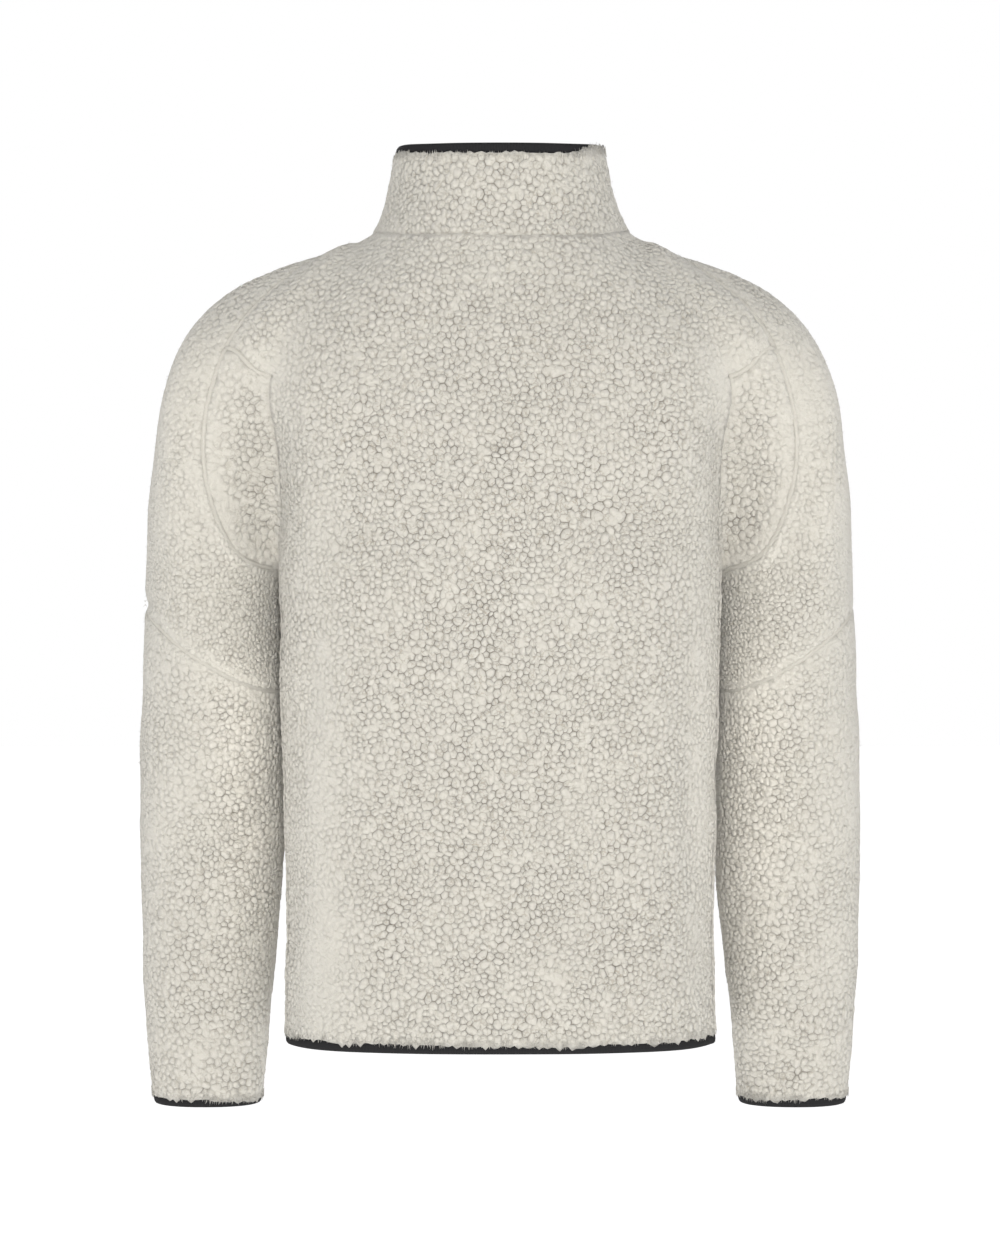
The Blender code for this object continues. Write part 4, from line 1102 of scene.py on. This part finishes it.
# ---------------------------------------------------------------- meshes
def add_object(name, vertices, faces, materials, first=None):
    """A smooth-shaded mesh object from places in millimetres, and which of them it uses. Faces from
    first on have the second material."""
    mesh = bpy.data.meshes.new(name)
    vertices, faces = np.asarray(vertices) * MM, np.asarray(faces)
    used, local = np.unique(faces, return_inverse=True)
    local = local.reshape(faces.shape)
    size = faces.shape[1]
    mesh.vertices.add(len(used))
    mesh.vertices.foreach_set("co", vertices[used].astype(np.float32).ravel())
    mesh.loops.add(local.size)
    mesh.loops.foreach_set("vertex_index", local.ravel().astype(np.int32))
    mesh.polygons.add(len(local))
    mesh.polygons.foreach_set("loop_start", np.arange(0, local.size, size, dtype=np.int32))
    mesh.polygons.foreach_set("use_smooth", np.ones(len(local), bool))
    for material in materials:
        mesh.materials.append(material)
    if first is not None:
        index = (np.arange(len(local)) >= first).astype(np.int32)
        mesh.polygons.foreach_set("material_index", index)
    mesh.update(calc_edges=True)
    return placed(name, mesh), used


def set_attribute(obj, name, values):
    """A number at each vertex, for the materials to read."""
    attribute = obj.data.attributes.new(name, "FLOAT", "POINT")
    attribute.data.foreach_set("value", np.asarray(values, np.float32))


# ---------------------------------------------------------------- edges, chains and sweeps
def border_loops(quads):
    """The directed border edges of a set of faces."""
    seen = {(int(q[k]), int(q[(k + 1) % 4])) for q in quads for k in range(4)}
    return [edge for edge in sorted(seen) if (edge[1], edge[0]) not in seen]


def faces_across(quads, panels):
    """The panel to the left of each directed edge."""
    return {(int(q[k]), int(q[(k + 1) % 4])): name for q, name in zip(quads, panels) for k in range(4)}


def chains(pairs):
    """Directed edges joined up into lines, and whether each closes."""
    following = dict(pairs)
    ends = set(following.values())
    lines = []
    while following:
        starts = [a for a in following if a not in ends]
        line = [min(starts) if starts else min(following)]
        while line[-1] in following:
            line.append(following.pop(line[-1]))
        closed = line[0] == line[-1]
        lines.append((line[:-1] if closed else line, closed))
        ends = set(following.values())
    return lines


def even_line(points, normals, chain, closed, step):
    """Places, normals and directions at even steps along a chain, and how far along each lies."""
    index = np.array(chain + chain[:1] if closed else chain)
    line, out = points[index], normals[index]
    at, share = resampled(line, step)
    place, normal = between(line, at, share), between(out, at, share)
    if not closed:
        place, normal = np.concatenate([place, line[-1:]]), np.concatenate([normal, out[-1:]])
        along = np.gradient(place, axis=0)
    else:
        along = np.roll(place, -1, axis=0) - np.roll(place, 1, axis=0)
    along = unit(along)
    normal = unit(normal - along * np.sum(along * normal, axis=1, keepdims=True))
    gone = np.concatenate([[0], np.cumsum(np.linalg.norm(np.diff(place, axis=0), axis=1))])
    return place, normal, along, gone


def sweep(rings, closed):
    """Triangles through equal rings of points, capped unless they close on themselves."""
    count, size = rings.shape[:2]
    i = np.arange(count if closed else count - 1)[:, None]
    j, k = (i + 1) % count, np.arange(size)[None]
    m = (k + 1) % size
    a, b, c, d = (v.ravel() for v in (i * size + k, i * size + m, j * size + m, j * size + k))
    parts = triangles((a, b, c), (a, c, d))
    if not closed:
        fan = np.array([(0, n + 1, n) for n in range(1, size - 1)])
        parts += [fan, fan[:, ::-1] + (count - 1) * size]
    return rings.reshape(-1, 3), np.concatenate(parts)


def swept(section, place, first, second, closed):
    """A section, laid out along two ways at each place of a line, swept along it."""
    rings = place[:, None] + first[:, None] * section[:, :1] + second[:, None] * section[:, 1:]
    return sweep(rings, closed)


def joined(parts):
    """Several (vertices, faces) as one."""
    vertices, faces, base = [], [], 0
    for v, f in parts:
        vertices.append(v)
        faces.append(f + base)
        base += len(v)
    return np.concatenate(vertices), np.concatenate(faces)


def repeated(corners, faces):
    """Many small closed shapes with the same faces, from the places of their first corners, then of
    their second corners and so on."""
    vertices = np.stack(corners, axis=1)
    faces = np.array(faces)[None] + len(corners) * np.arange(len(vertices))[:, None, None]
    return vertices.reshape(-1, 3), faces.reshape(-1, 3)


def bound_edge(name, points, normals, chain, closed, material):
    """The folded knit tape along a bound edge. The chain runs with the panel on its left."""
    place, normal, along, gone = even_line(points, normals, chain, closed, BINDING_STEP)
    section = np.array(BINDING_SECTION)
    shape = swept(section, place, normal, np.cross(along, normal), closed)
    obj, used = add_object(name, *shape, [material])
    set_attribute(obj, "along", np.repeat(gone, len(section))[used] * MM)
    return obj


def has_band(panel, other, height):
    """Flat bands lie over the armholes, elbows, shoulders and the short seams on the back, and not
    at the collar or down the sides."""
    if "collar" in (panel, other):
        return False
    return panel.startswith("sleeve") or other.startswith("sleeve") or height > SHORT_SEAM_LOW_Z


def seam_line(points, normals, chain, closed, step):
    """Places at even steps along a seam, with the ways along it, across it and out of it."""
    place, normal, along, _ = even_line(points, normals, chain, closed, step)
    return notched(place, normal), along, np.cross(normal, along), normal


def seam_bands(points, normals, across, cut):
    """The flat bands over the seams, and their stitches."""
    pairs = {}
    for (a, b), name in across.items():
        other = across.get((b, a))
        if other is not None and name < other and has_band(name, other, points[[a, b], 2].min()):
            pairs.setdefault((name, other), []).append((a, b))
    lines = [line for key in sorted(pairs) for line in chains(sorted(pairs[key]))]
    lines += [(line, False) for line in cut]
    bands, stitches = [], []
    section = np.array(SEAM_SECTION)[::-1]
    for chain, closed in lines:
        place, _, aside, normal = seam_line(points, normals, chain, closed, SEAM_STEP)
        bands.append(swept(section, place, aside, normal, closed))
        place, along, aside, normal = seam_line(points, normals, chain, closed, STITCH_PITCH)
        for row in STITCH_ROWS:
            stitches.append(stitch_row(place + aside * row + normal * STITCH_DEPTH, along, aside, normal))
    return joined(bands), joined(stitches)


def stitch_row(middle, along, aside, normal):
    """Small stitches, pointed at both ends, at places along a line."""
    tips = [middle - along * STITCH_LONG / 2, middle + along * STITCH_LONG / 2]
    waist = [middle + aside * STITCH_WIDE / 2 * x + normal * STITCH_WIDE / 2 * y
             for x, y in ((1, 0), (0, 1), (-1, 0), (0, -1))]
    faces = []
    for k, m in ((2, 3), (3, 4), (4, 5), (5, 2)):
        faces += [(0, m, k), (1, k, m)]
    return repeated(tips + waist, faces)


def locks(root, direction, aside, long, wide):
    """Small three-sided pointed locks from their roots, a little bent."""
    tip = root + direction * long[:, None] + aside * (long * LOCK_BEND)[:, None]
    third = np.cross(direction, aside)
    corners = [root + (aside * math.cos(a) + third * math.sin(a)) * wide[:, None] / 2
               for a in (0, 2 * math.pi / 3, 4 * math.pi / 3)]
    return repeated(corners + [tip], ((0, 1, 3), (1, 2, 3), (2, 0, 3), (0, 2, 1)))


def loose_locks(points, normals, quads, rng):
    """Single locks all over the pile, which fuzz its outline."""
    areas = np.linalg.norm(np.cross(*diagonals(points, quads)), axis=1)
    chosen = quads[rng.choice(len(quads), LOOSE_LOCKS, p=areas / areas.sum())]
    weight = rng.dirichlet(np.ones(4), LOOSE_LOCKS)[..., None]
    place, out = np.sum(points[chosen] * weight, axis=1), unit(np.sum(normals[chosen] * weight, axis=1))
    clear = (np.abs(place[:, 0]) > 2 * ZIP_EDGE_X) | (place[:, 1] < 0)
    place, out = place[clear], out[clear]
    side = unit(np.cross(out, rng.normal(size=out.shape)))
    lift = rng.uniform(*LOCK_LIFT, len(place))[:, None]
    down = np.array([0, 0, -LOCK_HANG]) * (1 - lift)
    direction = unit(side * (1 - LOCK_LEAN * lift) + out * lift + down)
    long = rng.uniform(*LOCK_LONG, len(place))
    return locks(place - out * LOCK_ROOT, direction, unit(np.cross(direction, out)), long,
                 np.full(len(place), LOCK_WIDE))


def edge_locks(points, normals, chain, closed, reaches, rng):
    """Locks in uneven bunches that hang from the pile over a bound edge."""
    place, out, along, _ = even_line(points, normals, chain, closed, EDGE_LOCK_STEP)
    bunch = soft_field(place, BUNCH_WAVE, BUNCH_SEED)
    keep = rng.random(len(place)) < EDGE_LOCK_KEPT[0] + EDGE_LOCK_KEPT[1] * bunch
    place, out, along, bunch = place[keep], out[keep], along[keep], bunch[keep]
    past, count = np.cross(along, out), len(place)
    within = rng.uniform(0, EDGE_LOCK_IN, count)
    long = rng.uniform(*EDGE_LOCK_LONG, count) * (1 + BUNCH_LONG * bunch)
    start = np.interp(place[:, 0], *zip(*reaches)) - within
    long = np.minimum(long, within + EDGE_LOCK_PAST[0] + EDGE_LOCK_PAST[1] * bunch)
    root = place + past * start[:, None] + out * rng.uniform(*EDGE_LOCK_ROOT, count)[:, None]
    fan = along * rng.normal(0, EDGE_LOCK_FAN, count)[:, None]
    direction = unit(past + fan + out * EDGE_LOCK_OFF)
    wide = rng.uniform(*EDGE_LOCK_UNEVEN, count) * EDGE_LOCK_WIDE
    return locks(root, direction, unit(np.cross(direction, out)), long, wide)


# ---------------------------------------------------------------- the zip
def front_edge(side, points, normals, quads):
    """Along one front edge from hem to collar top: places behind the lip of the wall, directions
    out of the front, and places behind the wall where the tape ends."""
    edge = {int(i) for i in np.unique(quads)
            if abs(points[i][0] - side * ZIP_EDGE_X) < EDGE_REACH and points[i][1] > 0}
    beside = {}
    for quad in quads:
        for k in range(4):
            for a, b in ((quad[k], quad[k - 1]), (quad[k - 1], quad[k])):
                if int(a) in edge and int(b) not in edge:
                    beside[int(a)] = int(b)
    lips, outward, ends = [], [], []
    for index in sorted(edge, key=lambda i: points[i][2]):
        here, there = (points[i] - normals[i] * WALL for i in (index, beside[index]))
        share = (ZIP_TAPE_REACH - ZIP_EDGE_X) / abs(there[0] - here[0])
        lips.append(here)
        ends.append(here + (there - here) * share)
        outward.append(np.array([0, *normals[index][1:]]) / np.linalg.norm(normals[index][1:]))
    return np.array(lips), np.array(outward), np.array(ends)


def zip_middle(lips, outward):
    """The line between the two fronts, on the tapes."""
    return lips * (0, 1, 1) - outward * ZIP_TAPE_GAP


def zip_tape(name, side, edge, material):
    """The tape behind one front, from the middle of the zip."""
    lips, outward, ends = (np.concatenate([part[:1] + low, part]) for part, low in zip(edge, TAPE_LOW))
    middle = lips * (0, 1, 1) + (side * SEAM_GAP / 2, 0, 0)
    outer = [p - outward * ZIP_TAPE_GAP for p in (middle, lips, ends)]
    inner = [p - outward * ZIP_TAPE_THICK for p in outer]
    rings = np.stack(outer + inner[::-1], axis=1)
    if side > 0:
        rings = rings[::-1]
    obj, _ = add_object(name, *sweep(rings, False), [material])
    return obj


def tooth_shape():
    """One tooth: across from the middle, along the zip, out of it."""
    outline = np.array(TOOTH_OUTLINE)
    small = outline * (1 - TOOTH_CHAMFER / TOOTH_SPAN)
    levels = ((outline, 0.0), (outline, TOOTH_HIGH - TOOTH_CHAMFER), (small, TOOTH_HIGH))
    rings = np.stack([np.column_stack([flat, np.full(len(flat), high)]) for flat, high in levels])
    return sweep(rings, False)


def zip_teeth(line, outward, high_z):
    """Teeth that mesh along the middle of the zip, up to the slider."""
    index, share = resampled(line, TOOTH_PITCH)
    place = line[index] + (line[index + 1] - line[index]) * share[:, None]
    out = outward[index]
    keep = (place[:, 2] > line[0][2] + TEETH_FROM) & (place[:, 2] < high_z)
    shape, faces = tooth_shape()
    parts = []
    for n in np.nonzero(keep)[0]:
        side = 1 if n % 2 else -1
        up = np.cross(out[n], (-1, 0, 0))
        own = place[n] + shape[:, :1] * np.array([side, 0, 0]) + shape[:, 1:2] * up + shape[:, 2:] * out[n]
        parts.append((own, faces if side > 0 else faces[:, ::-1]))
    return joined(parts)


def block(centre, across, out, up, size):
    """A small block with chamfered edges, by its middle and its size each way."""
    w, d, h = (v / 2 for v in size)
    c = min(w, d, h) * BLOCK_CHAMFER
    outline = ((w, h - c), (w - c, h), (c - w, h), (-w, h - c),
               (-w, c - h), (c - w, -h), (w - c, -h), (w, c - h))
    rings = []
    for high, scale in ((-d, 1.0), (d - c, 1.0), (d, 1 - c / w)):
        rings.append([centre + across * x * scale + up * y * scale + out * high for x, y in outline])
    return sweep(np.array(rings), False)


# ---------------------------------------------------------------- materials
def new_material(name, colour, roughness, metallic=0.0, sheen=0.0):
    """A plain material, its node tree and its shader."""
    material = bpy.data.materials.new(name)
    material.use_nodes = True
    shader = material.node_tree.nodes["Principled BSDF"]
    for entry, value in (("Base Color", (*colour, 1)), ("Roughness", roughness), ("Metallic", metallic),
                         ("Sheen Weight", sheen), ("Sheen Roughness", SHEEN_ROUGH)):
        shader.inputs[entry].default_value = value
    return material, material.node_tree, shader


def put(tree, socket, value):
    """Link an input from a socket, or set its value."""
    if isinstance(value, bpy.types.NodeSocket):
        tree.links.new(value, socket)
    else:
        socket.default_value = value


def node(tree, kind, **values):
    """A new shader node. Names of inputs take values or the sockets they are linked from."""
    made = tree.nodes.new("ShaderNode" + kind)
    for name, value in values.items():
        if name in made.inputs:
            put(tree, made.inputs[name], value)
        else:
            setattr(made, name, value)
    return made


def object_places(tree):
    return node(tree, "TexCoord").outputs["Object"]


def vertex_value(tree, name):
    """What set_attribute wrote under a name."""
    return node(tree, "Attribute", attribute_name=name).outputs["Fac"]


def noise(tree, where, scale, detail=2.0, roughness=0.5):
    made = node(tree, "TexNoise", Vector=where, Scale=scale, Detail=detail, Roughness=roughness)
    return made.outputs["Fac"]


def maths(tree, operation, a, b=0.0):
    made = node(tree, "Math", operation=operation)
    for socket, value in zip(made.inputs, (a, b)):
        put(tree, socket, value)
    return made.outputs[0]


def times(tree, a, b):
    return maths(tree, "MULTIPLY", a, b)


def plus(tree, a, b):
    return maths(tree, "ADD", a, b)


def mixed(tree, share, first, second):
    """A colour between two, by a share."""
    made = node(tree, "Mix", data_type="RGBA")
    for index, value in ((0, share), (6, first), (7, second)):
        put(tree, made.inputs[index], (*value, 1) if isinstance(value, tuple) else value)
    return made.outputs[2]


def soft_step(tree, value, start, end, low, high):
    """From low to high, where a value goes from start to end."""
    made = node(tree, "MapRange", Value=value, interpolation_type="SMOOTHSTEP",
                **{"From Min": start, "From Max": end, "To Min": low, "To Max": high})
    return made.outputs[0]


def bump(tree, shader, height, distance, strength):
    made = node(tree, "Bump", Height=height, Distance=distance, Strength=strength)
    tree.links.new(made.outputs[0], shader.inputs["Normal"])


def fine_splits(tree, where):
    """Thin uneven lines, 1 in their middle, stronger in some places than in others."""
    push = node(tree, "VectorMath", operation="MULTIPLY_ADD")
    wave = node(tree, "TexNoise", Vector=where, Scale=WAVER_SCALE, Detail=2.0).outputs["Color"]
    for socket, value in zip(push.inputs, (wave, (WAVER, WAVER, WAVER), where)):
        put(tree, socket, value)
    away = node(tree, "TexVoronoi", feature="DISTANCE_TO_EDGE", Vector=push.outputs[0],
                Scale=1 / SPLIT_SIZE).outputs["Distance"]
    line = soft_step(tree, away, 0.0, SPLIT_WIDTH, 1.0, 0.0)
    strength = soft_step(tree, noise(tree, where, SPLIT_PLACES), *SPLIT_FROM_TO, 0.0, 1.0)
    return times(tree, line, strength)


def pile_material():
    """Curly pile: painted shade darkens its crevices and fine splits, painted light lightens the inside of
    the sleeves, and it has warmer patches.
    """
    material, tree, shader = new_material("pile", PILE_PLAIN, PILE_ROUGH, sheen=PILE_SHEEN)
    where = object_places(tree)
    # Painted shade: the colour darkens towards the crevices.
    shade = maths(tree, "POWER", vertex_value(tree, "painted_shade"), CREVICE_POWER)
    # Painted light: the pile is painted lighter on the inside of the sleeves.
    painted_light_share = vertex_value(tree, "painted_light_share")
    top, shade_colour = mixed(tree, painted_light_share, PILE_LIGHT, PAINTED_LIGHT_TOP), mixed(tree, painted_light_share, PILE_CREVICE_SHADE, PAINTED_LIGHT_CREVICE)
    patches = times(tree, noise(tree, where, PATCH_SCALE), PATCH_SHARE)
    colour = mixed(tree, patches, mixed(tree, shade, top, shade_colour), PILE_WARM)
    # Painted shade in the fine splits, weaker where the clumps stand out less.
    splits = times(tree, fine_splits(tree, where), vertex_value(tree, "relief"))
    colour = mixed(tree, times(tree, splits, SPLIT_SHARE), colour, PILE_SPLIT_SHADE)
    put(tree, shader.inputs["Base Color"], colour)
    curls = noise(tree, where, 1 / CURL_SIZE, 2.0, CURL_ROUGH)
    fibres = noise(tree, where, 1 / FIBRE_SIZE, 1.0, CURL_ROUGH)
    height = plus(tree, curls, times(tree, fibres, FIBRE_SHARE))
    height = maths(tree, "SUBTRACT", height, times(tree, splits, SPLIT_BUMP))
    bump(tree, shader, height, CURL_DEPTH, CURL_STRENGTH)
    return material


def knit_material(name):
    """A fine knit: rows and columns of small loops, darker in their hollows as painted shade."""
    light, loop_shade, pitch, sheen = KNITS[name]
    material, tree, shader = new_material(name, light, CLOTH_ROUGH, sheen=sheen)
    where = object_places(tree)
    rows = node(tree, "TexWave", Vector=where, Scale=1 / pitch, Distortion=KNIT_WAVER, bands_direction="Z",
                **{"Detail Scale": 2.0})
    loops = noise(tree, where, KNIT_LOOPS / pitch)
    put(tree, shader.inputs["Base Color"], mixed(tree, loops, loop_shade, light))
    bump(tree, shader, plus(tree, rows.outputs["Fac"], loops), KNIT_DEPTH, KNIT_STRENGTH)
    return material


def binding_material():
    """A ribbed tape: ribs across its length, darker between them as painted shade."""
    material, tree, shader = new_material("binding", BINDING_LIGHT, CLOTH_ROUGH)
    shader.inputs["Specular IOR Level"].default_value = BINDING_SPECULAR
    ribs = maths(tree, "SINE", times(tree, vertex_value(tree, "along"), 2 * math.pi / BINDING_PITCH))
    ribs = times(tree, plus(tree, ribs, 1.0), 0.5)
    fibres = noise(tree, object_places(tree), RIB_FIBRES, 3.0)
    height = plus(tree, ribs, times(tree, fibres, RIB_FIBRE_SHARE))
    put(tree, shader.inputs["Base Color"], mixed(tree, height, BINDING_SHADE, BINDING_LIGHT))
    bump(tree, shader, height, RIB_DEPTH, RIB_STRENGTH)
    return material


def worn_material(name):
    """Lacquer with faint scratches and uneven gloss."""
    colour, worn_colour, roughness, metallic = LACQUERS[name]
    material, tree, shader = new_material(name, colour, roughness, metallic)
    where = object_places(tree)
    patches = noise(tree, where, WORN_SCALE, 3.0)
    worn = mixed(tree, maths(tree, "POWER", patches, WORN_POWER), colour, worn_colour)
    put(tree, shader.inputs["Base Color"], worn)
    rough = plus(tree, times(tree, patches, WORN_ROUGH), roughness - WORN_ROUGH / 2)
    put(tree, shader.inputs["Roughness"], rough)
    bump(tree, shader, noise(tree, where, SCRATCH_SCALE), SCRATCH_DEPTH, SCRATCH_STRENGTH)
    return material


# ---------------------------------------------------------------- stage
def add_floor():
    mesh = bpy.data.meshes.new("floor")
    corners = [(x * FLOOR_HALF, y * FLOOR_HALF, FLOOR_Z) for x, y in ((-1, -1), (1, -1), (1, 1), (-1, 1))]
    mesh.from_pydata(corners, [], [(0, 1, 2, 3)])
    material, _, shader = new_material("floor", FLOOR_COLOUR, CLOTH_ROUGH)
    shader.inputs["Emission Color"].default_value = (1, 1, 1, 1)
    shader.inputs["Emission Strength"].default_value = FLOOR_GLOW
    mesh.materials.append(material)
    floor = placed("floor", mesh)
    floor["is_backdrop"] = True


def add_world():
    """White all round and dimmer high up."""
    world = bpy.data.worlds.new("studio")
    world.use_nodes = True
    tree = world.node_tree
    up = node(tree, "SeparateXYZ", Vector=node(tree, "TexCoord").outputs["Generated"]).outputs["Z"]
    sky = soft_step(tree, up, *DIMS_FROM_TO, WORLD_LIGHT, ZENITH_LIGHT)
    tree.nodes["Background"].inputs["Color"].default_value = (1, 1, 1, 1)
    put(tree, tree.nodes["Background"].inputs["Strength"], sky)
    bpy.context.scene.world = world
    bpy.context.scene.view_settings.view_transform = "Standard"


def add_lights():
    for name, place, size, watts in LIGHTS:
        light = bpy.data.lights.new(name, "AREA")
        light.shape = "DISK"
        light.size = size
        light.energy = watts
        obj = placed(name, light, place)
        aim = Vector((0, 0, CAMERA_Z)) - obj.location
        obj.rotation_euler = aim.to_track_quat("-Z", "Y").to_euler()


def add_camera():
    camera = bpy.data.cameras.new("camera")
    camera.sensor_fit = "VERTICAL"
    camera.sensor_height = SENSOR
    camera.lens = SENSOR / 2 * CAMERA_DISTANCE / HALF_VIEW
    camera.clip_end = CAMERA_REACH
    obj = placed("camera", camera, (0, -CAMERA_DISTANCE, CAMERA_Z))
    obj.rotation_euler = (math.pi / 2, 0, 0)
    bpy.context.scene.camera = obj


# ---------------------------------------------------------------- the jacket
def pile_shells(surface, across, cut, materials):
    """The panels. For each name its object, the size of its cut and its area in square metres."""
    points, normals, quads, panels = surface
    shells = {}
    for number, name in enumerate(sorted(set(panels))):
        local, origin = cut_open(quads[panels == name], cut if name.startswith("sleeve") else ())
        flat, areas = flattened(points[origin], local)
        border = border_of(name, points, normals, flat, local, origin, across)
        rng = np.random.default_rng(PANEL_SEED + number)
        vertices, faces, painted_shade, relief, outside = pile_panel(
            name, points[origin], normals[origin], flat, local, areas, border, rng
        )
        obj, used = add_object(f"{name}_pile", vertices, faces, materials, outside)
        # Painted light: how far each vertex lies where the pile is painted lighter.
        painted_light_share = sum(share for less, share in zone_shares(vertices[used]) if less < 0)
        set_attribute(obj, "painted_shade", painted_shade[used])
        set_attribute(obj, "relief", relief[used])
        set_attribute(obj, "painted_light_share", painted_light_share)
        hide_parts(name)
        shells[name] = (obj, cut_size(flat), float(areas.sum()) * MM * MM)
        print(f"{obj.name}: {len(faces)} triangles, flat {shells[name][1]}, {shells[name][2]:.4f} m2")
    return shells


def bound_edges(surface, material, rng):
    """The knit tapes on the collar top, the hem and the cuffs, and the locks that hang over them."""
    points, normals, quads, panels = surface
    on_sleeve, on_collar = np.char.startswith(panels, "sleeve"), panels == "collar"
    body, collar = quads[~on_sleeve & ~on_collar], quads[on_collar]
    in_neck = set(np.unique(body)) & set(np.unique(collar))
    by_zip = (abs(points[:, 0]) < ZIP_EDGE_X + EDGE_REACH) & (points[:, 1] > 0)
    in_front = {i for i in np.unique(collar) if by_zip[i]}
    top = max(points[i][2] for i in in_front)
    bound = {
        "hem_edge": ("hem_binding", "hem", body, lambda i: points[i][2] < TORSO[0][0] + EDGE_REACH),
        "collar_edge": ("collar_binding", "collar_top", collar, lambda i: i not in in_neck
                        and (i not in in_front or points[i][2] > top - EDGE_REACH)),
    }
    for word in SIDES:
        lower = quads[panels == f"sleeve_lower_{word}"]
        bound[f"cuff_edge_{word}"] = (f"cuff_binding_{word}", "cuff", lower,
                                      lambda i: points[i][2] < CUFF_LINE_Z)
    made, hanging = [], []
    for name, (replaced, edge, faces, test) in bound.items():
        (chain, closed), = chains([(a, b) for a, b in border_loops(faces) if test(a) and test(b)])
        obj = bound_edge(name, points, normals, chain, closed, material)
        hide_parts(replaced)
        made.append((obj, "knit_binding"))
        hanging.append(edge_locks(points, normals, chain, closed, OVERHANG[edge][0], rng))
    return made, hanging


def stops_and_box(line, outward):
    """Two stops at the top of the zip and the box at the hem."""
    across = np.array([1.0, 0, 0])
    low, high = line[0][2] + BOX_SIZE[2] / 2 - BOX_LOW, line[-1][2] - STOP_BELOW
    parts = []
    for z, size, reach, sides in ((low, BOX_SIZE, 0.0, (1,)), (high, STOP_SIZE, STOP_APART, (1, -1))):
        place = np.array([0] + [np.interp(z, line[:, 2], line[:, k]) for k in (1, 2)])
        out = np.array([np.interp(z, line[:, 2], outward[:, k]) for k in range(3)])
        out /= np.linalg.norm(out)
        up = np.cross(out, -across)
        for side in sides:
            centre = place + across * side * reach + out * (size[1] / 2 + BLOCK_OFF)
            parts.append(block(centre, across, out, up, size))
    return parts


def zip_parts(surface, weave, plastic):
    """Tapes, teeth, top stops and the box at the hem."""
    points, normals, quads, panels = surface
    made = []
    for word, side in SIDES.items():
        own = (panels == "collar") & (points[quads[:, 0]][:, 0] * side > 0)
        edge = front_edge(side, points, normals, quads[own | (panels == f"front_{word}")])
        obj = zip_tape(f"zip_cloth_{word}", side, edge, weave)
        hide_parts(f"zip_tape_{word}")
        made.append((obj, "zip_tape"))
    lips, outward, _ = edge
    line = zip_middle(lips, outward)
    slider_z = sum(corner[2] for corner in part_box("zip_slider")) / 2 / MM
    parts = [zip_teeth(line, outward, slider_z)] + stops_and_box(line, outward)
    teeth, _ = add_object("zip_teeth", *joined(parts), [plastic])
    made.append((teeth, "zip_tape"))
    return made


def hang_sheets(shells, trims, over_back):
    """Finds the trims that go with each panel; nothing is done with them."""
    trims = {obj.name: obj for obj, _ in trims}
    trim_of = {
        "collar": "collar_edge", "back": "hem_edge",
        "sleeve_lower_left": "cuff_edge_left", "sleeve_lower_right": "cuff_edge_right",
        "front_left": "zip_cloth_left", "front_right": "zip_cloth_right",
    }
    for name, (obj, size, area) in shells.items():
        extra = [trims[trim_of[name]]] if name in trim_of else []
        if name == "back":
            extra += over_back


def main():
    add_camera()
    add_floor()
    add_world()
    add_lights()
    pile, binding = pile_material(), binding_material()
    ground, weave, thread = (knit_material(name) for name in KNITS)
    plastic, lacquer = (worn_material(name) for name in LACQUERS)

    points, normals, quads, panels, cut = smooth_surface(build_cage(), SUBDIVISIONS)
    points = creased(points, normals)
    normals = normals_of(points, quads)
    surface, across = (points, normals, quads, panels), faces_across(quads, panels)

    shells = pile_shells(surface, across, cut, [pile, ground])
    rng = np.random.default_rng(LOCK_SEED)
    bound, hanging = bound_edges(surface, binding, rng)
    hanging.append(loose_locks(points, normals, quads, rng))
    loose, _ = add_object("loose_locks", *joined(hanging), [pile])
    band_shape, stitch_shape = seam_bands(points, normals, across, cut)
    bands, _ = add_object("seam_bands", *band_shape, [thread])
    stitches, _ = add_object("seam_stitches", *stitch_shape, [thread])
    zipper = zip_parts(surface, weave, plastic)
    for name in ("zip_slider", "zip_pull"):
        materials = frame["nodes"][name].data.materials
        materials.clear()
        materials.append(lacquer)

    over_back = [bands, stitches, loose]
    pieces = [(shell[0], "pile_fleece") for shell in shells.values()] + bound + zipper
    for obj, slot in pieces + [(obj, "pile_fleece") for obj in over_back]:
        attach(obj, "jacket")
    hang_sheets(shells, bound + zipper, over_back)
    return cad_box


size_before = main()
size_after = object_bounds()
({name: [list(map(float, corner)) for corner in box]
           for name, box in (("cad", size_before), ("visual", size_after))})
